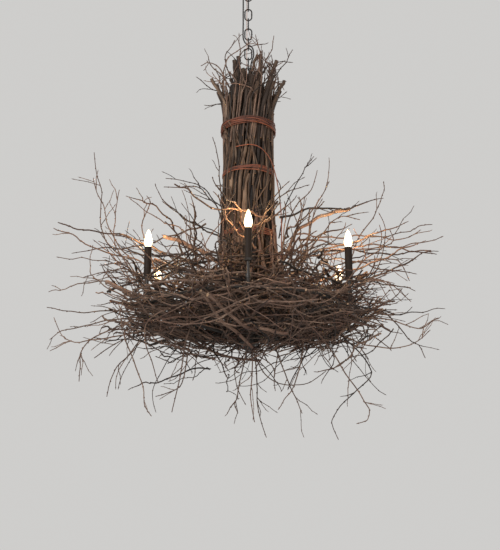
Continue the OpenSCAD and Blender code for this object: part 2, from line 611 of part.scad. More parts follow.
// Places each draft of a list after all that is placed already. Gives [twigs, runs].
function placed(list, way, heights, turns, i, done, taken) = i == len(list) ? [done, taken] :
    let (t = list[i], bare = runs(t[0], t[1]),
        own = clearance(bare, [for (a = turns) if (a > 0) each turned_runs(bare, a)], [0, 0, 0]),
        end = own > 1 ? rest(bare, beside(bare, taken), [0, 0, way], 0, 45) : [0, 99],
        move = [0, 0, end[0] * way],
        zs = [for (p = t[0]) p.z + move.z],
        good = end[1] > twig_gap / 2 && end[1] < twig_gap + 2 * touch && min(zs) > heights[0]
            && max(zs) < heights[1] && clearance(bare, kept_clear(), move) > 0.5,
        new = good ? runs([for (p = t[0]) p + move], t[1]) : [])
    placed(list, way, heights, turns, i + 1,
        good ? concat(done, [for (a = turns) [[for (p = t[0]) turned(p + move, a)], t[1]]]) : done,
        good ? concat(taken, [for (a = turns) each turned_runs(new, a)]) : taken);
function placed_kind(kind, seed, n, before) =
    placed(drafts(kind, seed, n), kind[5], kind[7], all_round, 0, [], before);

// Long loose ends, one of each, drawn by hand from inside the nest to the tip
wild_r = [2.8, 2, 1.1];
wild_rise = 70;
wild_heights = [-200, 620];
low_heights = [-450, 20];
wild = [
    [[-330, -60, 0], [-480, -60, 40], [-623, -30, 18]],
    [[300, -90, 0], [450, -80, -22], [593, -60, -2]],
    [[-330, -20, 60], [-470, -10, 300], [-505, 0, 560]],
    [[300, 60, 60], [400, 60, 290], [454, 60, 464]],
    [[-60, -330, 0], [-90, -470, 10], [-60, -600, -30]],
    [[70, 330, 0], [90, 480, 30], [40, 610, 60]],
    [[-250, 210, 40], [-330, 330, 60], [-400, 440, 40]],
    [[250, 210, 40], [360, 300, 70], [440, 400, 110]],
    [[-250, -230, 20], [-350, -320, 20], [-460, -370, -30]],
    [[250, -220, 20], [370, -300, 0], [450, -400, -50]],
    [[-140, 40, 40], [-165, 50, 330], [-280, 50, 400]],
    [[-135, -70, 40], [-170, -40, 300], [-270, 0, 410]],
    [[140, 50, 40], [165, 50, 360], [215, 50, 500]],
    [[130, -90, 20], [225, -100, 230], [350, -100, 280]]];
wild_low = [
    [[190, -110, -60], [262, -130, -280], [253, -110, -404]],
    [[-170, -150, -60], [-200, -190, -240], [-215, -180, -330]],
    [[20, 200, -60], [30, 240, -230], [60, 250, -340]]];
function wild_drafts(list, rise) = [for (w = list) [[for (p = w) p + [0, 0, rise]], wild_r]];

function base_set() = placed_kind(base_kind, 100, base_n, frame_runs());
function spray_set(before) = placed_kind(spray_kind, 300, spray_n, before[1]);
function rim_set(before) = placed_kind(rim_kind, 500, rim_n, before[1]);
function wild_set(before) = placed(wild_drafts(wild, wild_rise), -1, wild_heights, [0], 0, [], before[1]);
function under_set(before) = placed_kind(under_kind, 700, under_n, before[1]);
function hang_set(before) = placed_kind(hang_kind, 900, hang_n, before[1]);
function low_set(before) = placed(wild_drafts(wild_low, -wild_rise), 1, low_heights, [0], 0, [], before[1]);

module nest_base() color([0.23, 0.16, 0.12]) at_frame() twigs(base_set()[0], 8);
module nest_sprays() color([0.27, 0.19, 0.14]) at_frame() {
    sprays = spray_set(base_set());
    rim = rim_set(sprays);
    twigs(concat(sprays[0], rim[0], wild_set(rim)[0]), 6);
}
module nest_under() color([0.21, 0.14, 0.12]) at_frame() {
    under = under_set(wild_set(rim_set(spray_set(base_set()))));
    hang = hang_set(under);
    twigs(concat(under[0], hang[0], low_set(hang)[0]), 6);
}

crossbar();
crossbar_locknut();
ground_screw();
canopy_nipple();
canopy();
canopy_collar();
canopy_loop();
for (i = [1:8]) chain_link(i);
supply_cord();
earth_wire();
fixture_loop();
stem_pipe();
stem_locknut();
hub();
hub_cover();
finial();
for (i = [1:6]) arm(i);
outer_hoop();
inner_hoop();
arm_nuts();
lamp_leads();
splice_caps();
candle_stems();
candle_cups();
lamp_sockets();
candle_sleeves();
for (i = [1:6]) bulb_glass(i);
for (i = [1:6]) bulb_base(i);
sheaf_core();
sheaf_middle();
sheaf_outer();
crown_twigs();
tie_top();
tie_middle();
tie_bottom();
nest_base();
nest_sprays();
nest_under();
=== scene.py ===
import math
import random

import bmesh
import bpy
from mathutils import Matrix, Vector


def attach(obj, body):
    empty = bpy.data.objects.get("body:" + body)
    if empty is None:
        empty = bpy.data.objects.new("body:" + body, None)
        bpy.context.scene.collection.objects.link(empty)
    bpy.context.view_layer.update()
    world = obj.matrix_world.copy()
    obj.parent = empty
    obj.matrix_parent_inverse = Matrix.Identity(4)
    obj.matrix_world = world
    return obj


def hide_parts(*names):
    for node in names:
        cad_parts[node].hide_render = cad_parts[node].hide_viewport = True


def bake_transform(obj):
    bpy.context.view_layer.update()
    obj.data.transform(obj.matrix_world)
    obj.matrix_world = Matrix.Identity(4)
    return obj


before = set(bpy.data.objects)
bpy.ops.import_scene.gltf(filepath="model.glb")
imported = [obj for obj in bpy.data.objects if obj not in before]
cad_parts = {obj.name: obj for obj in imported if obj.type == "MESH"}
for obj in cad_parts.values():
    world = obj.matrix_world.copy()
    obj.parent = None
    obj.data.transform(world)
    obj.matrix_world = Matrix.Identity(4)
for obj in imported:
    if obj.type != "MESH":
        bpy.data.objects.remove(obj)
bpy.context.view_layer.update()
scene = bpy.context.scene
scene.view_settings.view_transform = "Standard"


# ---- Camera ----
# It stands in front of the chandelier, a little under it, and looks up past the nest at
# the sheaf. Heights on the fixture are measured from the feet of its candles.
feet = -1.2383
foot_level = Vector((0, 0, feet))
eye_back = 3.19
eye = bpy.data.cameras.new("camera")
eye.lens = 68.7
camera = bpy.data.objects.new("camera", eye)
camera.location = (0, -eye_back, feet - 0.84)
camera.rotation_euler = (math.radians(90 + 17.07), 0, math.radians(-0.104))
scene.collection.objects.link(camera)
scene.camera = camera


# ---- Supply cord and earth wire ----
# A round black cord and a bare copper wire come out of the canopy, are woven down through
# the chain and go into the stem. Each is one length of wire in the real thing. Here each is cut at the middle
# of every link.
link_mids = [-0.0877 - 0.0377 * k for k in range(8)]
hanger_mids = [-0.058] + link_mids + [-0.3813]

cord_route = [
    (-.0012, 0, 1.193), (-.002, 0, 1.187), (-.008, 0, 1.181), (-.014, 0, 1.172), (-.0174, 0, 1.16),
    (-.0176, -.001, 1.14), (-.0174, -.002, 1.11), (-.0176, -.001, 1.08), (-.0174, .001, 1.045),
    (-.0178, .001, 1.01), (-.0174, 0, .987), (-.0136, 0, .973), (-.007, 0, .964), (0, 0, .959),
    (.008, -.001, .954), (.015, -.0025, .945), (.018, -.003, .929), (.0174, -.0044, .912),
    (.0125, -.007, .896), (.0095, -.0095, .882), (.0075, -.0095, .87), (.004, -.007, .859),
    (.0016, -.002, .851), (.0012, 0, .843)]
earth_route = [
    (.0026, 0, 1.193), (.0026, -.0014, 1.187), (-.001, -.0046, 1.18), (-.005, -.0048, 1.17),
    (-.005, -.0042, 1.13), (-.0048, -.0042, 1.09), (-.0052, -.004, 1.06), (-.005, -.0044, 1.02),
    (-.0048, -.0042, .99), (-.005, -.004, .95), (-.0052, -.0042, .92), (-.005, -.0046, .89),
    (-.0052, -.0052, .876), (-.005, -.0046, .864), (-.004, -.0024, .855), (-.0026, 0, .846),
    (-.0026, 0, .838)]


def eased(knots, steps):
    """A smooth route through the knots, with this many steps from one to the next."""
    knots = [Vector(k) for k in knots]
    route, last = [], len(knots) - 1
    for k in range(last):
        before, a, b, after = knots[max(k - 1, 0)], knots[k], knots[k + 1], knots[min(k + 2, last)]
        for t in (s / steps for s in range(steps)):
            route.append(0.5 * (2 * a + (b - before) * t + (2 * before - 5 * a + 4 * b - after) * t * t
                                + (3 * a - before - 3 * b + after) * t ** 3))
    return route + [knots[-1]]


def rods(name, routes, rounding, skins):
    """One object of many round rods. A route is ([(point, radius), ...], tone). Every rod
    carries its own straightened coordinates, for bark that runs along it, and its tone."""
    wire = bpy.data.curves.new(name + "_route", "CURVE")
    wire.dimensions = "3D"
    wire.bevel_depth = 1
    wire.bevel_resolution = rounding
    for route, _ in routes:
        spline = wire.splines.new("POLY")
        spline.points.add(len(route) - 1)
        for knot, (point, radius) in zip(spline.points, route):
            knot.co = (*point, 1)
            knot.radius = radius
    former = bpy.data.objects.new(name + "_former", wire)
    scene.collection.objects.link(former)
    bpy.context.view_layer.update()
    mesh = bpy.data.meshes.new_from_object(former.evaluated_get(bpy.context.evaluated_depsgraph_get()))
    mesh.name = name
    bpy.data.objects.remove(former)
    bpy.data.curves.remove(wire)

    sides = 4 + 2 * rounding
    bark, tones = [], []
    chance = random.Random(name)
    for route, tone in routes:
        along, spin, whole = chance.uniform(0, 9), chance.uniform(0, 6), len(route) - 1
        for k, (point, radius) in enumerate(route):
            if k:
                along += (point - route[k - 1][0]).length
            for j in range(sides):
                turn = spin + j * math.tau / sides
                bark += (radius * math.cos(turn), radius * math.sin(turn), along)
                tones += (tone, k / whole, spin / 6)
    for label, values in (("bark_space", bark), ("twig_tone", tones)):
        mesh.attributes.new(label, "FLOAT_VECTOR", "POINT").data.foreach_set("vector", values)
    mesh.materials.clear()
    for skin in skins:
        mesh.materials.append(skin)
    form = bmesh.new()
    form.from_mesh(mesh)
    for face in form.faces:
        face.smooth = True
        face.material_index = 0
    ends = bmesh.ops.holes_fill(form, edges=[e for e in form.edges if e.is_boundary])["faces"]
    for face in ends:
        face.smooth = False
        face.material_index = len(skins) - 1
        for edge in face.edges:
            edge.smooth = False
    bmesh.ops.recalc_face_normals(form, faces=form.faces[:])
    form.to_mesh(mesh)
    form.free()
    piece = bpy.data.objects.new(name, mesh)
    scene.collection.objects.link(piece)
    return piece


def node_group(name, wants, gives):
    """An empty shader group with its inputs and outputs, ready for nodes."""
    tree = bpy.data.node_groups.new(name, "ShaderNodeTree")
    for label, kind, value in wants:
        socket = tree.interface.new_socket(label, in_out="INPUT", socket_type="NodeSocket" + kind)
        socket.default_value = value
    for label, kind in gives:
        tree.interface.new_socket(label, in_out="OUTPUT", socket_type="NodeSocket" + kind)
    return tree, tree.nodes.new("NodeGroupInput").outputs, tree.nodes.new("NodeGroupOutput").inputs


def put(tree, kind, settings=None, **sockets):
    """Adds a node: settings are its own values, and sockets its inputs' values or links."""
    node = tree.nodes.new("ShaderNode" + kind)
    for label, value in (settings or {}).items():
        setattr(node, label, value)
    for label, value in sockets.items():
        socket = node.inputs[int(label[1:])] if label[0] == "_" else node.inputs[label.replace("_", " ")]
        if isinstance(value, bpy.types.NodeSocket):
            tree.links.new(value, socket)
        else:
            socket.default_value = value
    return node


def maths(tree, operation, *values, clamp=False):
    """The result of a sum on up to three values or links."""
    settings = {"operation": operation, "use_clamp": clamp}
    return put(tree, "Math", settings, **{f"_{k}": value for k, value in enumerate(values)}).outputs[0]


def ranged(tree, value, **ends):
    """A value carried from one range to another."""
    return put(tree, "MapRange", Value=value, **ends).outputs[0]


def blended(tree, share, first, second):
    """Two colours mixed by a share of the second."""
    return put(tree, "Mix", {"data_type": "RGBA"}, _0=share, _6=first, _7=second).outputs[2]


def noise(tree, place, scale, detail, **more):
    """An uneven value between 0 and 1."""
    return put(tree, "TexNoise", Vector=place, Scale=scale, Detail=detail, **more).outputs[0]


# Mottle: the uneven surface that paint, rubber, iron and brass all have, with a second
# colour in patches, a roughness that wanders and a fine height.
mottle, want, give = node_group(
    "mottle",
    [("Colour", "Color", (0.1, 0.1, 0.1, 1)), ("Patch Colour", "Color", (0.2, 0.1, 0.05, 1)),
     ("Patches", "Float", 0.4), ("Scale", "Float", 60), ("Stretch", "Vector", (1, 1, 1)),
     ("Smoothest", "Float", 0.3), ("Roughest", "Float", 0.6)],
    [("Colour", "Color"), ("Roughness", "Float"), ("Height", "Float")])
place = put(mottle, "TexCoord").outputs["Object"]
place = put(mottle, "VectorMath", {"operation": "MULTIPLY"}, _0=place, _1=want["Stretch"]).outputs[0]
coarse = noise(mottle, place, want["Scale"], 6, Roughness=0.6)
fine = noise(mottle, place, maths(mottle, "MULTIPLY", want["Scale"], 7), 3)
patch = ranged(mottle, coarse, From_Min=maths(mottle, "SUBTRACT", 1, want["Patches"]), From_Max=1)
speck = maths(mottle, "MULTIPLY_ADD", fine, 0.5, patch, clamp=True)
rough = ranged(mottle, fine, From_Min=0.3, From_Max=0.7, To_Min=want["Smoothest"], To_Max=want["Roughest"])
mottle.links.new(blended(mottle, speck, want["Colour"], want["Patch Colour"]), give["Colour"])
mottle.links.new(rough, give["Roughness"])
mottle.links.new(maths(mottle, "MULTIPLY_ADD", coarse, 0.6, fine), give["Height"])


def dressed(name, effect, values, bump=0.1, depth=0.0004, **shader):
    """A material: one effect's colour, roughness and height on a plain Principled shader."""
    material = bpy.data.materials.new(name)
    material.use_nodes = True
    tree = material.node_tree
    surface = tree.nodes["Principled BSDF"]
    look = tree.nodes.new("ShaderNodeGroup")
    look.node_tree = effect
    for label, value in values.items():
        look.inputs[label].default_value = value
    tree.links.new(look.outputs["Colour"], surface.inputs["Base Color"])
    tree.links.new(look.outputs["Roughness"], surface.inputs["Roughness"])
    relief = put(tree, "Bump", Height=look.outputs["Height"], Strength=bump, Distance=depth)
    tree.links.new(relief.outputs["Normal"], surface.inputs["Normal"])
    for label, value in shader.items():
        surface.inputs[label.replace("_", " ")].default_value = value
    return material


def mottled(name, colour, patch, scale, roughness, patches=0.4, stretch=(1, 1, 1), **finish):
    """A material with a mottled surface, and a roughness between two values."""
    return dressed(name, mottle, {
        "Colour": (*colour, 1), "Patch Colour": (*patch, 1), "Patches": patches, "Scale": scale,
        "Stretch": stretch, "Smoothest": roughness[0], "Roughest": roughness[1]}, **finish)


cord_rubber = mottled("cord_rubber", (0.018, 0.016, 0.015), (0.05, 0.045, 0.04), 90, (0.38, 0.55),
                      stretch=(1, 1, 0.3), bump=0.15)
bare_copper = mottled("bare_copper", (0.62, 0.29, 0.16), (0.25, 0.12, 0.07), 150, (0.28, 0.5), Metallic=1)


def woven_through_chain(node, knots, top, bottom, radius, skin):
    """Draws a wire down its whole route, then cuts it at the middle of every link."""
    entry, out = knots[0], knots[-1]
    route = [(entry[0], 0, top), (entry[0], 0, feet + 1.2)]
    route += [p + foot_level for p in eased(knots, 6)]
    route += [(out[0], 0, feet + 0.83), (out[0], 0, feet + bottom)]
    whole = rods(node + "_whole", [([(Vector(p), radius) for p in route], 0.5)], 4, [skin])
    for k in range(9):
        stretch = bmesh.new()
        stretch.from_mesh(whole.data)
        for height, way, inner in ((hanger_mids[k], 1, k > 0), (hanger_mids[k + 1], -1, k < 8)):
            if inner:
                everything = stretch.verts[:] + stretch.edges[:] + stretch.faces[:]
                cut = bmesh.ops.bisect_plane(stretch, geom=everything, dist=1e-6, plane_co=(0, 0, height),
                                             plane_no=(0, 0, way), clear_outer=True)["geom_cut"]
                bmesh.ops.holes_fill(stretch, edges=[e for e in cut if isinstance(e, bmesh.types.BMEdge)])
        mesh = bpy.data.meshes.new(f"{node}_{k + 1}")
        stretch.to_mesh(mesh)
        stretch.free()
        mesh.materials.append(skin)
        piece = bpy.data.objects.new(mesh.name, mesh)
        scene.collection.objects.link(piece)
        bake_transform(piece)
        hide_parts(node)
    bpy.data.objects.remove(whole)


woven_through_chain("supply_cord", cord_route, -0.0005, -0.075, 0.0025, cord_rubber)
woven_through_chain("earth_wire", earth_route, -0.0005, -0.075, 0.0008, bare_copper)


# ---- Ceiling plate and canopy ----
# A zinc-plated crossbar screws to the ceiling box and holds a short threaded tube. A
# shallow pressed-steel canopy, painted black, is held up under it by a screwed collar.
def finish_nodes(material, *names):
    """Gives CAD nodes their material."""
    for name in names:
        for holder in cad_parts[name].material_slots:
            holder.link = "OBJECT"
            holder.material = material


zinc = mottled("zinc_plate", (0.58, 0.57, 0.54), (0.4, 0.39, 0.36), 70, (0.25, 0.45), Metallic=1)
green_plate = mottled("green_plate", (0.04, 0.3, 0.1), (0.02, 0.12, 0.05), 200, (0.3, 0.5), Metallic=0.8)
canopy_paint = mottled("canopy_paint", (0.02, 0.018, 0.017), (0.05, 0.04, 0.033), 35, (0.38, 0.55),
                       patches=0.5, bump=0.25, depth=0.0003)
finish_nodes(zinc, "crossbar", "crossbar_locknut", "canopy_nipple", "stem_locknut")
finish_nodes(green_plate, "ground_screw")
finish_nodes(canopy_paint, "canopy", "canopy_collar")


# ---- Chain ----
# Eight links of round iron wire, each bent to an oval and butt welded in the middle of one
# leg, with a screwed loop above and the fixture's loop below, all waxed black.
chain_iron = mottled("chain_iron", (0.012, 0.011, 0.011), (0.035, 0.025, 0.019), 110, (0.36, 0.6),
                     bump=0.4, depth=0.0005, Specular_IOR_Level=0.35)
finish_nodes(chain_iron, "canopy_loop", "fixture_loop", *[f"chain_link_{k}" for k in range(1, 9)])
wire_r, leg_x = 0.00225, 0.01175
# A weld's swelling: heights along the leg, and shares of the wire's radius
swell = [(-.0032, .98), (-.0022, 1.06), (-.0012, 1.2), (0, 1.26), (.0011, 1.2), (.0021, 1.07), (.003, .98)]
for k, mid in enumerate(link_mids):
    leg = Vector((leg_x, 0, mid)) if k % 2 == 0 else Vector((0, leg_x, mid))
    bead = [(leg + Vector((0, 0, z)), wire_r * share) for z, share in swell]
    weld = rods(f"link_weld_{k + 1}", [(bead, 0.5)], 4, [chain_iron])
    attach(weld, f"chain_{k + 1}")


# ---- Frame ----
# A steel stem inside the sheaf is clamped in a turned hub. Six tubes are welded into the
# hub and bent up at their ends, two hoops of round bar lie on them, and it is all black.
frame_iron = mottled("frame_iron", (0.014, 0.013, 0.012), (0.045, 0.03, 0.022), 45, (0.34, 0.62),
                     patches=0.42, bump=0.3, depth=0.0005, Specular_IOR_Level=0.35)
finish_nodes(frame_iron, "stem_pipe", "hub", "hub_cover", "finial", "outer_hoop", "inner_hoop",
             "arm_nuts", "candle_stems", "candle_cups", *[f"arm_{k}" for k in range(1, 7)])


# ---- Lamp wiring ----
# A sleeved pair of wires runs up each arm from the hub, where orange caps join all six
# pairs to the supply cord.
lead_sleeve = mottled("lead_sleeve", (0.42, 0.36, 0.27), (0.28, 0.23, 0.17), 400, (0.6, 0.8), bump=0.4)
splice_plastic = mottled("splice_plastic", (0.75, 0.25, 0.04), (0.5, 0.16, 0.03), 120, (0.35, 0.5),
                         patches=0.3, bump=0.15)
finish_nodes(lead_sleeve, "lamp_leads")
finish_nodes(splice_plastic, "splice_caps")


# ---- Candles ----
# Each arm ends in a threaded stem with a turned cup, a phenolic lamp socket and a sleeve of
# dark brown card over it, rough like old wax.
socket_phenolic = mottled("socket_phenolic", (0.03, 0.022, 0.018), (0.07, 0.045, 0.03), 90, (0.35, 0.5))
sleeve_card = mottled("sleeve_card", (0.012, 0.008, 0.006), (0.04, 0.024, 0.015), 120, (0.5, 0.75),
                      patches=0.42, stretch=(1, 1, 0.12), bump=0.5, depth=0.0006, Specular_IOR_Level=0.15)
finish_nodes(socket_phenolic, "lamp_sockets")
finish_nodes(sleeve_card, "candle_sleeves")
candle_ring = 0.35
bearings = [math.radians(-90 + 60 * k) for k in range(6)]


# ---- Bulbs ----
# Clear flame-tip bulbs with brass screw bases. Inside, a glass stem holds two lead wires
# and a coiled filament, which is lit and throws a warm light on the twigs beside it.
bulb_brass = mottled("bulb_brass", (0.7, 0.5, 0.22), (0.4, 0.26, 0.12), 150, (0.22, 0.42), Metallic=1)
glass_with_painted_glow = bpy.data.materials.new("glass_with_painted_glow")
glass_with_painted_glow.use_nodes = True
glass = glass_with_painted_glow.node_tree.nodes["Principled BSDF"].inputs
glass["Base Color"].default_value = (1, 0.97, 0.92, 1)
glass["Transmission Weight"].default_value = 1
glass["Roughness"].default_value = 0.03
glass["IOR"].default_value = 1.45
# The glass is given a warm glow of its own: a painted glow, standing in for the glare round the lit filament.
glass["Emission Color"].default_value = (1, 0.72, 0.4, 1)
glass["Emission Strength"].default_value = 1.1
hot_wire = bpy.data.materials.new("hot_wire")
hot_wire.use_nodes = True
glow = hot_wire.node_tree.nodes["Principled BSDF"].inputs
glow["Base Color"].default_value = (1, 0.9, 0.75, 1)
glow["Emission Color"].default_value = (1, 0.8, 0.55, 1)
glow["Emission Strength"].default_value = 40
coil_turns, coil_points = 9, 14
coil_r, coil_low, coil_long, coil_wire = .0024, .19, .024, .0007
for k, bearing in enumerate(bearings):
    axis = Vector((candle_ring * math.cos(bearing), candle_ring * math.sin(bearing), feet))
    coil = []
    for n in range(coil_turns * coil_points + 1):
        t = n / (coil_turns * coil_points)
        turn = t * coil_turns * math.tau
        at = Vector((coil_r * math.cos(turn), coil_r * math.sin(turn), coil_low + coil_long * t))
        coil.append((axis + at, coil_wire))
    filament = rods(f"filament_{k + 1}", [(coil, 0.5)], 0, [hot_wire])
    stem = ((.171, .0034), (.176, .003), (.18, .0018), (.187, .0012))
    mount = [([(axis + Vector((0, 0, z)), r) for z, r in stem], 0.5)]
    for side, top in ((-1, .1902), (1, .2142)):
        lead = ((side * .001, .178), (side * .0034, .188), (side * .0034, top), (side * .0022, top))
        mount.append(([(axis + Vector((x, 0, z)), .0003) for x, z in lead], 0.5))
    mount = rods(f"filament_mount_{k + 1}", mount, 1, [zinc])
    warmth = bpy.data.lights.new(f"bulb_light_{k + 1}", "POINT")
    warmth.energy = 1.2
    warmth.color = (1, 0.62, 0.3)
    warmth.shadow_soft_size = 0.012
    lamp = bpy.data.objects.new(warmth.name, warmth)
    lamp.location = axis + Vector((0, 0, .205))
    scene.collection.objects.link(lamp)
    lamp.parent = filament
    for piece, slot_name in ((filament, "bulb_glass"), (mount, "bright_steel")):
        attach(piece, f"bulb_{k + 1}")
        piece.visible_shadow = False
    finish_nodes(glass_with_painted_glow, f"bulb_glass_{k + 1}")
    finish_nodes(bulb_brass, f"bulb_base_{k + 1}")
    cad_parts[f"bulb_glass_{k + 1}"].visible_shadow = False


# ---- Sheaf ----
# A bundle of cut branches, bark and all, stands round the stem from the nest to the loop.
# Each ring leans round it the other way from the last, so that the bundle is waisted.
bark, want, give = node_group(
    "bark",
    [("Shade", "Color", (0.035, 0.02, 0.014, 1)), ("Bark", "Color", (0.13, 0.07, 0.045, 1)),
     ("Pale", "Color", (0.3, 0.21, 0.15, 1)), ("Tip", "Color", (0.2, 0.07, 0.035, 1)),
     ("Grain", "Float", 260), ("Greying", "Float", 0.4)],
    [("Colour", "Color"), ("Roughness", "Float"), ("Height", "Float")])
space = put(bark, "Attribute", {"attribute_name": "bark_space"}).outputs["Vector"]
tone = put(bark, "Attribute", {"attribute_name": "twig_tone"}).outputs["Vector"]
tone = put(bark, "SeparateXYZ", _0=tone).outputs


def barkwise(scale):
    """A rod's own coordinates, stretched along its bark."""
    return put(bark, "Mapping", Vector=space, Scale=scale).outputs[0]


streak = noise(bark, barkwise((1, 1, 0.09)), want["Grain"], 5, Roughness=0.65)
blotch = noise(bark, barkwise((1, 1, 0.35)), 48, 4)
band = noise(bark, barkwise((0.3, 0.3, 1)), 420, 2)
# A rod's tone runs from the Shade colour to the Bark colour. It differs at random, and is held low on the
# twigs deep in the nest and on the sheaf's inner rings, as painted shade.
body = blended(bark, tone[0], want["Shade"], want["Bark"])
# The bark is darker in its grooves, where the bump is low: dark fissures in the bark, and painted shade in
# the creases.
groove = ranged(bark, streak, From_Min=0.38, From_Max=0.62, To_Min=0.8, To_Max=0)
body = blended(bark, groove, body, want["Shade"])
# Greying and lenticels are stronger on rods of higher tone, so they are faint where the tone is held low as
# painted shade.
wear_and_shade_by_tone = maths(bark, "MULTIPLY_ADD", tone[0], 0.8, 0.15)
grey = ranged(bark, blotch, From_Min=0.5, From_Max=0.7, To_Max=want["Greying"])
grey = maths(bark, "MULTIPLY", grey, wear_and_shade_by_tone)
grey = maths(bark, "MULTIPLY", grey, ranged(bark, tone[2], To_Min=0.2, To_Max=1.6))
body = blended(bark, grey, body, want["Pale"])
lenticel = maths(bark, "MULTIPLY", ranged(bark, band, From_Min=0.64, From_Max=0.7, To_Max=0.6), wear_and_shade_by_tone)
body = blended(bark, lenticel, body, want["Pale"])
young = ranged(bark, tone[1], From_Min=0.55, From_Max=1, To_Max=0.6)
rough = ranged(bark, streak, From_Min=0.3, From_Max=0.7, To_Min=0.55, To_Max=0.88)
bark.links.new(blended(bark, young, body, want["Tip"]), give["Colour"])
bark.links.new(rough, give["Roughness"])
bark.links.new(maths(bark, "MULTIPLY_ADD", blotch, 0.5, streak), give["Height"])

# Cut ends: pale wood with growth rings round the pith and a darker rim
cut_grain, want, give = node_group(
    "cut_grain", [("Wood", "Color", (0.32, 0.2, 0.115, 1)), ("Ring", "Color", (0.15, 0.085, 0.05, 1))],
    [("Colour", "Color"), ("Roughness", "Float"), ("Height", "Float")])
space = put(cut_grain, "Attribute", {"attribute_name": "bark_space"}).outputs["Vector"]
flat = put(cut_grain, "Mapping", Vector=space, Scale=(1, 1, 0)).outputs[0]
ripple = noise(cut_grain, flat, 300, 3)
spread = put(cut_grain, "VectorMath", {"operation": "LENGTH"}, _0=flat).outputs["Value"]
ring_gap = 0.0007
rings = maths(cut_grain, "PINGPONG", maths(cut_grain, "MULTIPLY_ADD", ripple, 0.0008, spread), ring_gap)
rings = ranged(cut_grain, rings, From_Max=ring_gap)
rings = maths(cut_grain, "MULTIPLY_ADD", rings, 0.6, -0.1, clamp=True)
cut_grain.links.new(blended(cut_grain, rings, want["Wood"], want["Ring"]), give["Colour"])
cut_grain.links.new(ranged(cut_grain, ripple, To_Min=0.6, To_Max=0.9), give["Roughness"])
cut_grain.links.new(ripple, give["Height"])

stick_bark = dressed("stick_bark", bark, {
    "Shade": (0.006, 0.004, 0.003, 1), "Bark": (0.2, 0.12, 0.075, 1), "Pale": (0.3, 0.21, 0.145, 1),
    "Tip": (0.05, 0.03, 0.02, 1), "Grain": 230, "Greying": 0.7},
    bump=1, depth=0.002, Specular_IOR_Level=0.3)
cut_wood = dressed("cut_wood", cut_grain, {}, bump=0.3)

ring_radii = [0.0198, 0.03795, 0.0556, 0.07175]
stick_radii = [0.009, 0.009, 0.0085, 0.0075]
waist, lean = 0.56, 1.5


def barrel(radius, height):
    """How far out a leaning stick has come at a height, for its distance at the waist."""
    return radius * math.hypot(1, lean * (height - waist))


def leaning(radius, height, bearing, hand):
    """A point on a stick that leans round the sheaf."""
    side = -hand * lean * radius * (height - waist)
    c, s = math.cos(bearing), math.sin(bearing)
    return Vector((radius * c - side * s, radius * s + side * c, feet + height))


def stick(chance, radius, thick, bearing, low, high, hand, waver, step=0.022):
    """A straightish branch: it wavers a little, thins upwards and swells at its old knots."""
    count = round((high - low) / step)
    route, knot = [], chance.uniform(0.03, 0.12)
    across, along = chance.uniform(0, 6), chance.uniform(0, 6)
    for k in range(count + 1):
        height = low + (high - low) * k / count
        point = leaning(radius, height, bearing, hand)
        waft = Vector((math.sin(height * 23 + across), math.cos(height * 19 + along), 0)) * waver
        girth = thick * (1.04 - 0.14 * k / count) * (1 + 0.05 * math.sin(height * 60 + across))
        knot -= step
        if knot < 0:
            girth *= 1.17
            knot = chance.uniform(0.07, 0.17)
        route.append((point + waft, girth))
    return route


chance = random.Random(41)
core, middle, outer = [], [], []
for ring, low, high, hand, kept in (
        (0, -.03, .806, 1, core), (1, -.01, .79, -1, middle), (2, .01, .755, 1, middle)):
    radius, thick = ring_radii[ring], stick_radii[ring]
    tilt = math.cos(math.atan(lean * radius))
    count = math.floor(math.pi / math.asin((thick + .0001) / (radius * tilt)))
    uneven = .065 if ring else .006
    for k in range(count):
        girth, bearing = thick * chance.uniform(0.8, 0.99), k * math.tau / count + 0.3 * ring
        foot, top = low + .018 * chance.random(), high + uneven * chance.random()
        branch = stick(chance, radius, girth, bearing, foot, top, hand, waver=.0008, step=.04)
        # The core and middle rings' sticks are painted darker than the outer ring's: painted shade between
        # the outer sticks.
        kept.append((branch, chance.random() ** 4))


def outwards(point):
    """The level direction straight out from the stem."""
    return Vector((point.x, point.y, 0)).normalized()


# The outer ring is of thick and thin branches side by side, flush on the outside. Above the
# top tie, where nothing binds them, they spread.
rim = ring_radii[3] + stick_radii[3]
bound_to = 0.655
bearing, last = 0, 0.006
while bearing < math.tau - 0.1:
    thick = chance.choice((.0038, .0045, .0055, .0065, .0075, .0088))
    radius = rim - thick
    bearing += (last + thick) / radius * chance.uniform(0.98, 1.2)
    last = thick
    foot, top = .016 + .03 * chance.random(), .71 + .1 * chance.random()
    branch = stick(chance, radius, thick * 0.97, bearing, foot, top, -1, waver=chance.uniform(.001, .004))
    spread = chance.uniform(-0.2, 1.7)
    branch = [(p + outwards(p) * spread * max(0, p.z - feet - bound_to) ** 2, r) for p, r in branch]
    outer.append((branch, chance.random() ** 2.2))


# How far out (squared), forwards and down any twig may reach
reach_squared, foremost, lowest = 0.38, -0.605, feet - 0.43


def out_of_reach(point):
    """Tells whether a point lies outside the room that the whole chandelier fills."""
    return point.length_squared - point.z ** 2 > reach_squared or point.y < foremost or point.z < lowest


def any_way(chance):
    """A vector with three even draws, to tell one side of a twig from another."""
    return Vector((chance.uniform(-1, 1), chance.uniform(-1, 1), chance.uniform(-1, 1)))


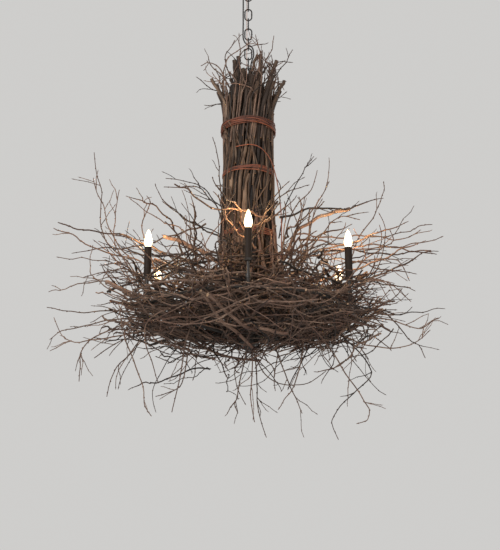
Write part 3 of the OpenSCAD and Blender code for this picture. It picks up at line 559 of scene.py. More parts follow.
def twig(chance, start, ahead, length, thick, slim, waver=0.22, pace=0.013, bud_gap=0.034, kink=0.14,
         pull=None, stop=None):
    """Grows a twig: it wavers, kinks a little at each bud, swells there, and thins to its tip."""
    point, ahead = Vector(start), Vector(ahead).normalized()
    side = ahead.cross(any_way(chance)).normalized()
    drift = Vector((0, 0, 0))
    route = [(point.copy(), thick)]
    gone, bud, hand = 0.0, chance.uniform(0.4, 1) * bud_gap, 1
    while gone < length:
        gust = Vector((chance.gauss(0, 1), chance.gauss(0, 1), chance.gauss(0, 1)))
        drift = drift * 0.72 + gust * waver * 0.28
        ahead = ahead + drift * 0.5
        if pull:
            ahead = ahead + pull(point, gone / length) * pace
        ahead.normalize()
        point = point + ahead * pace
        gone += pace
        if out_of_reach(point) or stop and stop(point):
            break
        girth = thick + (slim - thick) * min(1, gone / length) ** 0.8
        bud -= pace
        if bud < 0:
            bud = bud_gap * chance.uniform(0.75, 1.3)
            hand = -hand
            out = side * hand * girth
            route.append((point - ahead * 0.0028, girth * 0.98))
            route.append((point + out * 0.6, girth * 1.62))
            route.append((point + ahead * 0.003, girth * 0.93))
            ahead = (ahead + side * hand * kink).normalized()
        else:
            route.append((point.copy(), girth))
    point, girth = route[-1]
    route.append((point + ahead * 0.004, girth * 0.35))
    return route


def shoots(chance, parent, count, length, **habit):
    """Side shoots that leave a twig past its first quarter, thinner than it is."""
    grown, first, angle = [], len(parent) // 4, 0.7
    for _ in range(count):
        k = chance.randint(first, max(first, len(parent) - 4))
        (point, girth), (after, _) = parent[k], parent[k + 1]
        ahead = (after - point).normalized()
        side = ahead.cross(any_way(chance)).normalized()
        way = ahead * math.cos(angle) + side * math.sin(angle)
        reach = length * chance.uniform(0.35, 1)
        grown.append(twig(chance, point, way, reach, min(girth * 0.8, 0.0021), 0.0009, **habit))
    return grown


# Snags where side branches were cut off, with pale ends
branches = list(outer)
for _ in range(46):
    route, tone_value = chance.choice(branches)
    k = chance.randint(3, len(route) - 3)
    point, girth = route[k]
    out = outwards(point)
    side = Vector((-out.y, out.x, 0)) * chance.uniform(-0.9, 0.9)
    way = (out * chance.uniform(0.3, 0.8) + side + Vector((0, 0, chance.uniform(0.6, 1.6)))).normalized()
    reach, stub = chance.uniform(0.012, 0.034), chance.uniform(0.0022, 0.0046)
    outer.append(([(point, stub * 1.3), (point + way * (girth + 0.003), stub * 1.15),
                   (point + way * (girth + reach), stub)], tone_value))

# Thinner branches pushed in under the ties, which cross the others at a slant
for _ in range(86):
    low = chance.uniform(0.02, 0.5)
    high = min(low + chance.uniform(0.16, 0.42), 0.8)
    thick, begin, swing = chance.uniform(0.0013, 0.0034), chance.uniform(0, math.tau), chance.gauss(0, 0.5)
    bulge, steps = chance.uniform(0, 0.004), round((high - low) / 0.02)
    route = []
    for k in range(steps + 1):
        t = k / steps
        height = low + (high - low) * t
        off = barrel(rim, height) + thick * 0.5 + bulge * math.sin(math.pi * t) ** 2
        way = begin + swing * t + 0.05 * math.sin(height * 31 + begin)
        point = Vector((off * math.cos(way), off * math.sin(way), feet + height))
        route.append((point, thick * (1.15 - 0.3 * t)))
    outer.append((route, chance.random()))


def shaken(chance, line):
    """A drawn line, each point a little to one side, with heights from the candles' feet."""
    return [p + Vector((chance.gauss(0, .0012), chance.gauss(0, .0012), feet)) for p in line]


# Tall branches that stand out above the rest, given as drawn lines
tall_branches = [
    ((.045, -.03, .72), (.068, -.04, .8), (.094, -.045, .876), .0066),
    ((.068, -.03, .65), (.09, -.04, .74), (.12, -.05, .8), .0062),
    ((-.012, -.02, .76), (.01, -.03, .84), (.03, -.03, .905), .0056),
    ((.03, -.03, .76), (.038, -.03, .84), (.042, -.03, .905), .0066),
    ((-.06, -.03, .66), (-.09, -.04, .753), (-.124, -.05, .806), .006),
    ((-.036, -.03, .74), (-.042, -.03, .82), (-.046, -.03, .885), .008),
    ((-.022, -.04, .74), (-.03, -.04, .82), (-.034, -.045, .892), .0065),
    ((-.016, -.05, .7), (-.018, -.055, .78), (-.016, -.06, .838), .0075),
    ((.0, -.06, .7), (.008, -.06, .76), (.012, -.06, .815), .008),
    ((.05, .03, .74), (.06, .04, .8), (.08, .06, .86), .006),
    ((-.03, .05, .74), (-.04, .06, .81), (-.06, .08, .87), .0065),
    ((.06, -.05, .68), (.07, -.06, .74), (.085, -.07, .785), .005)]
for foot, knee, top, thick in tall_branches:
    line = shaken(chance, eased([foot, knee, top], 4))
    branch = [(p, thick * (1.06 - .02 * n)) for n, p in enumerate(line)]
    outer.append((branch, chance.uniform(0.05, 0.6)))
for name, routes, rounding in (
        ("sheaf_core", core, 2), ("sheaf_middle", middle, 3), ("sheaf_outer", outer, 3)):
    piece = rods(name + "_sticks", routes, rounding, [stick_bark, cut_wood])
    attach(piece, "fixture")
    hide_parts(name)


# ---- Crown ----
# Thin budded twigs are pushed in under the top tie and open out above it, each with a few
# side shoots, round the cut ends of the sheaf.
twig_bark = dressed("twig_bark", bark, {
    "Shade": (0.009, 0.006, 0.005, 1), "Bark": (0.27, 0.16, 0.112, 1), "Pale": (0.36, 0.26, 0.19, 1),
    "Tip": (0.07, 0.027, 0.017, 1), "Grain": 420, "Greying": 0.5},
    bump=0.7, depth=0.001, Specular_IOR_Level=0.35)


def turned(point, bearing):
    """A point (outwards, sideways, up from the candles' feet) turned to its bearing."""
    c, s = math.cos(bearing), math.sin(bearing)
    return Vector((point[0] * c - point[1] * s, point[0] * s + point[1] * c, point[2]))


def pushed(point, axis, room):
    """Moves a point straight away from the nearest point of an axis until it has its room."""
    away = point - axis
    if away.length >= room:
        return point
    return axis + (away.normalized() if away.length > 1e-5 else Vector((0, 0, 1))) * room


def clear_of_chain(point):
    """Keeps a sprig out of the room that the links and cords need when they swing."""
    height, chain_foot, chain_room, opening = point.z - feet, 0.85, 0.017, 0.55
    if height <= chain_foot - 0.01:
        return point
    return pushed(point, Vector((0, 0, point.z)), chain_room + opening * max(0, height - chain_foot))


def sprig(foot, tip, fewest, most, length):
    """A twig of the crown and its side shoots, all of one tone."""
    tone_value = chance.random()
    sides = shoots(chance, tip, chance.randint(fewest, most), length, waver=0.5, pace=0.008, bud_gap=0.02,
                   kink=0.3)
    return [(route, tone_value) for route in [foot + tip] + sides]


chance = random.Random(7)
crown = []
for k in range(34):
    bearing = (k + chance.uniform(-0.4, 0.4)) * math.tau / 34
    foot_height, knee = chance.uniform(0.57, 0.6), chance.uniform(0.7, 0.82)
    foot = [(leaning(rim + 0.0024, foot_height + (knee - foot_height) * t / 8, bearing, -1), 0.0026)
            for t in range(9)]
    out = turned((chance.uniform(0.15, 0.85), chance.uniform(-0.5, 0.5), chance.uniform(0.6, 1.1)), bearing)
    tip = twig(chance, foot[-1][0], out, chance.uniform(0.06, 0.17), 0.0025, 0.0012, waver=0.5,
               pace=0.009, bud_gap=0.024, kink=0.3)
    crown += sprig(foot[:-1], tip, 1, 3, 0.07)
for k in range(16):
    bearing, out = chance.uniform(0, math.tau), chance.uniform(0.034, 0.068)
    start = turned((out, 0, 0.8), bearing) + foot_level
    way = turned((chance.uniform(0.25, 0.6), chance.uniform(-0.3, 0.3), 1), bearing)
    tip = twig(chance, start, way, chance.uniform(0.1, 0.19), 0.0027, 0.0012, waver=0.4,
               pace=0.009, bud_gap=0.026, kink=0.26)
    crown += sprig([], tip, 0, 2, 0.06)
crown = [([(clear_of_chain(p), r) for p, r in route], tone_value) for route, tone_value in crown]
crown_twigs = rods("crown_sprigs", crown, 1, [twig_bark, cut_wood])
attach(crown_twigs, "fixture")
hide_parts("crown_twigs")


# ---- Ties ----
# Long rust-red withes, wound by hand round the sheaf at three heights, several strands to a
# tie, with their ends tucked in. One end has come loose and hangs down to the nest.
withe_bark = dressed("withe_bark", bark, {
    "Shade": (0.035, 0.012, 0.008, 1), "Bark": (0.3, 0.085, 0.038, 1), "Pale": (0.36, 0.16, 0.09, 1),
    "Tip": (0.12, 0.035, 0.018, 1), "Grain": 380, "Greying": 0.3}, bump=0.6, depth=0.0008)


def wound(chance, height, turns, climb, over, thick, tilt):
    """One strand round the sheaf: it climbs, sways up and down and stays on what it binds."""
    begin, lean_at, steps = chance.uniform(0, math.tau), chance.uniform(0, math.tau), round(turns * 32)
    ripple, ride = chance.uniform(2, 4), chance.uniform(1.0, 2.1)
    route = []
    for k in range(steps + 1):
        t = k / steps
        bearing = begin + turns * math.tau * t
        up = height + climb * (t - 0.5) + tilt * math.sin(bearing + lean_at)
        up += 0.25 * tilt * math.sin(ripple * bearing + lean_at)
        out = over(up) + 0.0012 + thick * (ride + 0.8 * math.sin(ripple * bearing) ** 2)
        girth = thick * (1 + 0.1 * math.sin(9 * bearing))
        route.append((turned((out, 0, up), bearing) + foot_level, girth))
    return route


def over_sheaf(height):
    """How far out the sheaf's sticks come at a height."""
    return barrel(rim, height)


def over_crown(height):
    """The same for the feet of the crown's twigs, which lie on the sticks."""
    return barrel(rim + 0.005, height)


loose_withe = [(-.04, -.074, .55), (.006, -.086, .553), (.042, -.084, .54), (.07, -.07, .51),
               (.088, -.055, .46), (.1, -.045, .39), (.106, -.04, .31), (.105, -.04, .22), (.1, -.04, .12)]
chance = random.Random(19)
for name, height, over, strands, turns, climb, tilt in (
        ("tie_top", 0.64, over_crown, 8, 1.6, 0.012, 0.011),
        ("tie_middle", 0.478, over_sheaf, 6, 1.6, 0.008, 0.005),
        ("tie_bottom", 0.265, over_sheaf, 4, 1.7, 0.01, 0.006)):
    routes = []
    for _ in range(strands):
        level, thick = height + chance.uniform(-.006, .006), chance.uniform(.0011, .0019)
        strand = wound(chance, level, turns, climb, over, thick, tilt * chance.uniform(0.3, 1))
        routes.append((strand, chance.random()))
    if name == "tie_middle":
        routes.append(([(p + foot_level, .0017) for p in eased(loose_withe, 6)], 0.8))
    piece = rods(name + "_withes", routes, 2, [withe_bark, cut_wood])
    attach(piece, "fixture")
    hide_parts(name)


# ---- Nest ----
# Hundreds of cut twigs, bark and buds and all, are woven by hand round the hoops and arms:
# thick branches on the floor, thinner ones over and under them, and loose ends all round.

# The metalwork that the twigs lie on. An arm runs straight out and up to its bend.
arm_rise, bend_r, bend_x, bend_z = 8, 0.058, 0.292, 0.03
straight_end, straight_top = 0.30007, -0.02744
slope = math.tan(math.radians(arm_rise))
arm_line = [Vector((s, 0, straight_top - (straight_end - s) * slope))
            for s in (0.03, 0.12, 0.21, straight_end)]
arm_line += [Vector((bend_x + bend_r * math.sin(a), 0, bend_z - bend_r * math.cos(a)))
             for a in (math.radians(arm_rise + (90 - arm_rise) * k / 5) for k in range(1, 6))]
arm_line.append(Vector((candle_ring, 0, 0.074)))
hub_room, hub_top, hub_foot, finial_room = 0.034, -0.03, -0.1, 0.02
hoops = ((0.33, 0.0034), (0.165, -0.0347))
hoop_room, arm_room, candle_room = 0.0052, 0.0066, 0.0165
candle_foot, bulb_lifted = 0.07, 0.42


def sector_of(point):
    """The bearing of the arm nearest to a point."""
    return round((math.atan2(point.y, point.x) + math.pi / 2) / (math.pi / 3)) * math.pi / 3 - math.pi / 2


def kept_off(point, girth):
    """Lays a point of a twig on the sheaf, hub, hoops, arm or candle that it would go through."""
    point = point - foot_level
    out = math.hypot(point.x, point.y)
    if point.z > hub_top:
        room = barrel(rim, min(point.z, 0.9)) + girth
        if out < room:
            point = Vector((point.x * room / out, point.y * room / out, point.z))
            out = room
    elif out < hub_room + girth and point.z > hub_foot:
        room = hub_room + girth
        if out < finial_room:
            point = Vector((point.x, point.y, hub_foot - girth))
        else:
            point = Vector((point.x * room / out, point.y * room / out, point.z))
        out = math.hypot(point.x, point.y)
    for radius, height in hoops:
        nearest = Vector((point.x * radius / out, point.y * radius / out, height))
        point = pushed(point, nearest, hoop_room + girth)
    sector = sector_of(point)
    local = turned(point, -sector)
    beside = 0.32 < local.x < 0.38 and abs(local.y) < 0.03
    if beside and candle_foot < local.z < bulb_lifted:
        local = pushed(local, Vector((candle_ring, 0, local.z)), candle_room + girth)
    else:
        for a, b in zip(arm_line, arm_line[1:]):
            run = b - a
            t = max(0, min(1, (local - a).dot(run) / run.length_squared))
            local = pushed(local, a + run * t, arm_room + girth)
    return turned(local, sector) + foot_level


def settled(route):
    """Keeps a whole twig off the metalwork, evens out the sharp corners, and does it again."""
    points = [kept_off(p, r) for p, r in route]
    middle_points = [(a + b * 2 + c) / 4 for a, b, c in zip(points, points[1:], points[2:])]
    moved = [(p - q[0]).length > 1e-4 for p, q in zip(points, route)]
    for k, point in enumerate(middle_points):
        if any(moved[k:k + 3]):
            points[k + 1] = kept_off(point, route[k + 1][1])
    return [(p, r) for p, (_, r) in zip(points, route)]


def bowl(out):
    """Height of the nest's underside, which is lowest in the middle."""
    return -0.082 + 0.072 * (out / 0.36) ** 2


def lift(bearing):
    """The back of the nest is woven a little higher than its front."""
    return 0.045 * max(0, math.sin(bearing))


def round_and_level(curl, height, grip):
    """Pulls a twig round the middle, and back to its own level in the nest."""
    def pull(point, _):
        out = Vector((point.x, point.y, 0))
        inwards = -out.normalized() * curl / max(out.length, 0.1)
        return inwards + Vector((0, 0, (feet + height - point.z) * grip))
    return pull


def steady(vector, later):
    """Pulls a twig one way, and more and more another way towards its tip."""
    vector, later = Vector(vector), Vector(later)
    return lambda point, t: vector + later * t


def leant(knots, share):
    """Leans a rising twig outwards, more the farther out it reaches, so that the rim stays low."""
    tip = knots[-1]
    top = share * (0.24 + 0.85 * max(0, 0.4 - math.hypot(tip.x, tip.y)))
    low = min(1, top / max(tip.z - feet, 0.01))
    return [Vector((k.x, k.y, feet + (k.z - feet) * (low if k.z > feet else 1))) for k in knots]


def gathered(knots, hang):
    """Lifts a twig under the nest towards its underside, so that only a share of it hangs down."""
    route = []
    for knot in knots:
        out, bearing = math.hypot(knot.x, knot.y), math.atan2(knot.y, knot.x)
        below = max(0, feet + bowl(out) + lift(bearing) + 0.006 - knot.z)
        route.append(knot + Vector((0, 0, below * (1 - hang))))
    return route


def past(radius, low=-9, high=9):
    """Tells a twig to stop where it would leave the nest's reach."""
    return lambda p: math.hypot(p.x, p.y) > radius or not low < p.z - feet < high


def heading(bearing, aim, rise):
    """A direction: aim is turned from straight outwards, and rise is above level."""
    level = math.cos(rise)
    return Vector((math.cos(bearing + aim) * level, math.sin(bearing + aim) * level, math.sin(rise)))


def laid(node):
    """The lines that a solid node's twigs follow: for each, three knots and their radii."""
    form = bmesh.new()
    form.from_mesh(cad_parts[node].data)
    bmesh.ops.remove_doubles(form, verts=form.verts[:], dist=1e-5)
    form.verts.index_update()
    lines, met = [], set()
    for seed in form.verts:
        if seed.index in met:
            continue
        met.add(seed.index)
        joined = [seed]
        for vert in joined:
            for other in (edge.other_vert(vert) for edge in vert.link_edges):
                if other.index not in met:
                    met.add(other.index)
                    joined.append(other)
        end = max(joined, key=lambda v: (v.co - seed.co).length)
        joined.sort(key=lambda v: (v.co - end.co).length)
        sides = len(joined) // 3
        rings = [joined[k * sides:(k + 1) * sides] for k in range(3)]
        knots = [sum((v.co for v in ring), Vector()) / sides for ring in rings]
        girths = [sum((v.co - knot).length for v in ring) / sides for knot, ring in zip(knots, rings)]
        lines.append((knots, girths) if girths[0] > girths[2] else (knots[::-1], girths[::-1]))
    form.free()
    return lines


def along(chance, knots, thick, slim, sway, bud_gap, bud=1.6):
    """A grown twig along drawn knots: it sways about them, thins and swells at its buds."""
    length, step = sum((b - a).length for a, b in zip(knots, knots[1:])), 0.016
    path = eased(knots, max(2, round(length / step / (len(knots) - 1))))
    side = (path[-1] - path[0]).cross(any_way(chance))
    side.normalize()
    other = side.cross(path[-1] - path[0]).normalized()
    phases = [chance.uniform(0, math.tau) for _ in range(4)]
    route, gap, hand = [], chance.uniform(0.3, 1) * bud_gap, 1
    for k, point in enumerate(path):
        gone, t = k * length / (len(path) - 1), k / (len(path) - 1)
        shift = side * (math.sin(gone * 29 + phases[0]) + 0.5 * math.sin(gone * 83 + phases[1]))
        shift += other * (math.sin(gone * 25 + phases[2]) + 0.5 * math.sin(gone * 71 + phases[3]))
        point = point + shift * sway * min(1, 6 * t, 6 * (1 - t))
        girth = thick + (slim - thick) * t
        gap -= length / (len(path) - 1)
        if gap < 0 and 0 < k < len(path) - 1:
            gap, hand = bud_gap * chance.uniform(0.7, 1.3), -hand
            ahead = (path[k + 1] - path[k]).normalized()
            route.append((point - ahead * 0.0028, girth))
            route.append((point + side * hand * girth * (bud - 1), girth * bud))
            route.append((point + ahead * 0.003, girth * 0.95))
        else:
            route.append((point, girth))
    return route


def meets_candle(line):
    """Tells whether a line would go through a candle, or through its bulb on the way out."""
    for point in line:
        axis = turned((candle_ring, 0, 0), sector_of(point))
        near = math.hypot(point.x - axis.x, point.y - axis.y) < 0.03
        if near and candle_foot < point.z - feet < 0.38:
            return True
    return False


# The front candles, and the height over their feet from which the nest leaves them in view
front_candles = ((0, -0.35, 0.006), (-0.303, -0.175, 0.08), (0.303, -0.175, 0.08))


def hides_candle(route):
    """Tells whether a twig would cross a front candle as the camera sees it."""
    return any(p.y < y - 0.01 and abs(p.x - x * (eye_back + p.y) / (eye_back + y)) < 0.02
               and p.z > feet + low for x, y, low in front_candles for p, _ in route)


# The nest's pieces: the solid node that each stands for, and how round its twigs are
nest_pieces = {
    "nest_floor": ("nest_base", 2), "nest_weave": ("nest_base", 1), "nest_lacing": ("nest_sprays", 0),
    "nest_sprays": ("nest_sprays", 1), "nest_shoots": ("nest_sprays", 0), "nest_under": ("nest_under", 1),
    "nest_hanging": ("nest_under", 0), "nest_loose_ends": ("nest_under", 1)}
nest = {name: [] for name in nest_pieces}


def add(name, route, tone_value, side_count, side_length, **habit):
    """Adds a twig and its side shoots to a piece of the nest, unless it stopped at once."""
    route = settled(route)
    sides = [settled(side) for side in shoots(chance, route, side_count, side_length, **habit)]
    if len(route) > 5 and not hides_candle(route):
        nest[name] += [(grown, tone_value) for grown in [route] + sides if not hides_candle(grown)]


def shade_of(out):
    """A twig's tone, with painted shade: it is painted dark deep inside the nest, and mixed at the outside.
    """
    return chance.random() ** (1 + 2 * max(0, min(1, (0.36 - out) / 0.2)))


def rim_top(out):
    """Height of the nest's woven top, which falls towards its rim."""
    return 0.012 + 0.24 * max(0, 0.34 - out)


# The main twigs lie along the lines of the solid ones. Each is drawn out at its thin end.
budded = {"bud_gap": 0.024, "pace": 0.01}
chance = random.Random(3)
for node, name, bud_gap, reach, sway, sides in (
        ("nest_base", "nest_floor", 0.07, 0.06, 0.0035, 1),
        ("nest_sprays", "nest_sprays", 0.042, 0.07, 0.006, 2),
        ("nest_under", "nest_under", 0.036, 0.03, 0.008, 0)):
    for knots, girths in laid(node):
        if node == "nest_sprays":
            lower = leant(knots, chance.uniform(0.7, 1.1))
            knots = knots if meets_candle(eased(lower, 16)) else lower
        if node == "nest_under":
            knots = gathered(knots, 0.9 * chance.random() ** 2.5)
        main = along(chance, knots, girths[0], girths[2], bud_gap=bud_gap, sway=sway)
        ahead = (main[-1][0] - main[-3][0]).normalized()
        tip = twig(chance, main[-1][0], ahead, reach * chance.uniform(0.5, 1.2), girths[2] * 0.95, 0.0011,
                   waver=0.3, bud_gap=0.026, kink=0.2)
        out = math.hypot(knots[1].x, knots[1].y)
        add(name, main + tip[1:], shade_of(out), chance.randint(0, sides), 0.1, kink=0.26, **budded)

for _ in range(46):     # thick branches that lie across the arms and make the floor
    out, bearing = chance.uniform(0.1, 0.31), chance.uniform(0, math.tau)
    height = bowl(out) + lift(bearing) + chance.uniform(0.01, 0.08)
    aim = chance.choice((-1, 1)) * chance.uniform(0.8, 2.1)
    length, thick = chance.uniform(0.26, 0.5), chance.uniform(0.0034, 0.0064)
    way = heading(bearing, aim, chance.uniform(-0.08, 0.08))
    start = turned((out, 0, feet + height), bearing) - way * length * chance.uniform(0.3, 0.7)
    pull = round_and_level(chance.uniform(0, 1), height, 7)
    grown = twig(chance, start, way, length, thick, thick * 0.66, waver=0.12, pace=0.016, bud_gap=0.075,
                 kink=0.08, pull=pull, stop=past(0.42))
    add("nest_floor", grown, shade_of(out), chance.randint(0, 1), 0.08)
for k in range(30):     # stout cut branches that point outwards, with pale ends
    bearing = (k + chance.uniform(-0.4, 0.4)) * math.tau / 30
    out, thick = chance.uniform(0.1, 0.22), chance.uniform(0.0032, 0.0056)
    way = heading(bearing, chance.gauss(0, 0.45), chance.uniform(-0.05, 0.4))
    start = turned((out, 0, feet + bowl(out) + chance.uniform(0.03, 0.1)), bearing)
    grown = twig(chance, start, way, chance.uniform(0.16, 0.32), thick, thick * 0.75, waver=0.1,
                 pace=0.016, bud_gap=0.07, kink=0.1, stop=past(0.44))
    add("nest_floor", grown, shade_of(0.3), chance.randint(0, 1), 0.07)
for _ in range(250):    # long thin twigs woven round, one over another
    out, bearing = math.sqrt(chance.uniform(0.012, 0.155)), chance.uniform(0, math.tau)
    height = bowl(out) + lift(bearing) + 0.01 + (rim_top(out) - bowl(out)) * chance.random()
    aim = chance.choice((-1, 1)) * (math.pi / 2 + chance.uniform(-0.95, 0.95))
    length, thick = chance.uniform(0.24, 0.52), chance.uniform(0.0015, 0.0034)
    way = heading(bearing, aim, chance.uniform(-0.15, 0.15))
    start = turned((out, 0, feet + height), bearing) - way * length * 0.5
    pull = round_and_level(chance.uniform(0, 1.1), height, 8)
    grown = twig(chance, start, way, length, thick, thick * 0.55, waver=0.3, bud_gap=0.045, kink=0.12,
                 pull=pull, stop=past(0.45))
    add("nest_weave", grown, shade_of(out), chance.randint(0, 1), 0.08)
for _ in range(60):     # fine twigs that lace the rim together
    out, bearing = chance.uniform(0.32, 0.43), chance.uniform(0, math.tau)
    height = lift(bearing) + chance.uniform(-0.05, 0.03)
    aim = chance.choice((-1, 1)) * (math.pi / 2 + chance.uniform(-0.9, 0.5))
    way = heading(bearing, aim, chance.uniform(-0.3, 0.3))
    length, thick = chance.uniform(0.2, 0.42), chance.uniform(0.0014, 0.0024)
    start = turned((out, 0, feet + height), bearing) - way * length * 0.4
    pull = round_and_level(chance.uniform(0, 1.2), height, 4)
    grown = twig(chance, start, way, length, thick, 0.0011, waver=0.4, bud_gap=0.03, kink=0.18,
                 pull=pull, stop=past(0.5))
    add("nest_lacing", grown, shade_of(out), chance.randint(0, 1), 0.08, kink=0.25, **budded)
for k in range(44):     # long twigs laid round the edge, just under the candles' feet
    bearing, out = (k + chance.uniform(-0.5, 0.5)) * math.tau / 44, chance.uniform(0.36, 0.42)
    height, thick = lift(bearing) + chance.uniform(-0.06, 0.004), chance.uniform(0.0016, 0.0032)
    aim = chance.choice((-1, 1)) * (math.pi / 2 + chance.uniform(-0.2, 0.5))
    way = heading(bearing, aim, chance.uniform(-0.1, 0.1))
    length = chance.uniform(0.26, 0.5)
    start = turned((out, 0, feet + height), bearing) - way * length * 0.45
    pull = round_and_level(chance.uniform(0.7, 1.3), height, 7)
    grown = twig(chance, start, way, length, thick, 0.0012, waver=0.3, bud_gap=0.032, kink=0.16,
                 pull=pull, stop=past(0.47))
    add("nest_lacing", grown, shade_of(0.38), chance.randint(0, 1), 0.08, kink=0.25, **budded)
for _ in range(90):     # twigs that reach outwards, past the candles
    out, bearing = chance.uniform(0.14, 0.33), chance.uniform(0, math.tau)
    height = bowl(out) + lift(bearing) + (rim_top(out) - bowl(out)) * chance.random()
    way = heading(bearing, chance.gauss(0, 0.55), chance.uniform(-0.1, 0.5))
    length, thick = chance.uniform(0.24, 0.42), chance.uniform(0.0016, 0.0032)
    start = turned((out, 0, feet + height), bearing)
    pull = steady((0, 0, chance.uniform(-1.5, 1)), (0, 0, chance.uniform(-3, 2)))
    grown = twig(chance, start, way, length, thick, 0.0011, waver=0.3, bud_gap=0.032, kink=0.18,
                 pull=pull, stop=past(chance.uniform(0.42, 0.52)))
    add("nest_lacing", grown, shade_of(0.36), chance.randint(0, 2), 0.1, kink=0.25, **budded)
for _ in range(76):     # shoots that rise round the sheaf and arch over
    out, bearing = chance.uniform(0.1, 0.33), chance.uniform(0, math.tau)
    way = heading(bearing, chance.gauss(0, 0.7), chance.uniform(0.4, 1.1))
    length, thick = chance.uniform(0.16, 0.36), chance.uniform(0.0015, 0.003)
    arch = turned((chance.uniform(0, 3.5), chance.uniform(-2, 2), chance.uniform(-4, 0)), bearing)
    start = turned((out, 0, feet + chance.uniform(-0.02, 0.05)), bearing)
    grown = twig(chance, start, way, length, thick, 0.0011, waver=0.32, bud_gap=0.03, kink=0.2,
                 pull=steady((0, 0, 0), arch), stop=past(0.46, high=chance.uniform(0.15, 0.36)))
    add("nest_shoots", grown, shade_of(0.34), chance.randint(0, 2), 0.1, kink=0.28, **budded)
for _ in range(14):     # twigs that droop out of the underside
    out, bearing = chance.uniform(0.1, 0.4), chance.uniform(0, math.tau)
    way = heading(bearing, chance.gauss(0, 0.9), -chance.uniform(0.1, 1.0))
    length, thick = chance.uniform(0.14, 0.26), chance.uniform(0.0015, 0.0024)
    bend = (chance.uniform(-3, 3), chance.uniform(-3, 3), chance.uniform(-3, 3))
    start = turned((out, 0, feet + bowl(out) + 0.03), bearing)
    grown = twig(chance, start, way, length, thick, 0.0012, waver=0.45, bud_gap=0.024, kink=0.26,
                 pull=steady((0, 0, 0), bend), stop=past(0.49, low=-chance.uniform(0.15, 0.27)))
    add("nest_hanging", grown, shade_of(0.36), chance.randint(0, 2), 0.08, kink=0.3, bud_gap=0.022, pace=0.01)

# Thin twigs laid over the outside of the bowl at a slant, from its edge down to its underside
for k in range(96):
    bearing = (k + chance.uniform(-0.5, 0.5)) * math.tau / 96
    outer_end, inner_end = chance.uniform(0.3, 0.44), chance.uniform(0.06, 0.26)
    swing, slant = chance.uniform(-1.1, 1.1), chance.uniform(-0.004, 0.022)
    knots = []
    for t in (0, 0.33, 0.67, 1):
        out = outer_end + (inner_end - outer_end) * t
        level = feet - 0.008 + lift(bearing) + slant * (1 - 2 * t) + bowl(out)
        knots.append(turned((out, 0, level), bearing + swing * t))
    if chance.random() < 0.5:
        knots.reverse()
    grown = along(chance, knots, chance.uniform(0.0016, 0.0028), 0.0012, bud_gap=0.032, sway=0.006)
    # These twigs on the outside of the bowl are given lighter tones than the nest's inner twigs: painted
    # light on the outside.
    add("nest_lacing", grown, chance.uniform(0.3, 1), chance.randint(0, 1), 0.07, kink=0.25, **budded)

# Short branches that stand in the nest and lean on the sheaf's foot, with pale cut tops
for k in range(30):
    bearing = (k + chance.uniform(-0.4, 0.4)) * math.tau / 30
    foot, top = chance.uniform(0.12, 0.18), chance.uniform(0.12, 0.36)
    thick, swing = chance.uniform(0.0024, 0.0052), chance.uniform(-0.35, 0.35)
    low = turned((foot, 0, -0.02), bearing)
    high = turned((over_sheaf(top) + thick, 0, top), bearing + swing)
    knee = turned((over_sheaf(top * 0.6) + thick + 0.004, 0, top * 0.62), bearing + swing * 0.6)
    line = shaken(chance, eased([low, (low + knee) / 2 + Vector((0, 0, 0.01)), knee, high], 5))
    route = [(p, thick * (1.05 - 0.015 * n)) for n, p in enumerate(line)]
    nest["nest_floor"].append((settled(route), shade_of(0.36)))
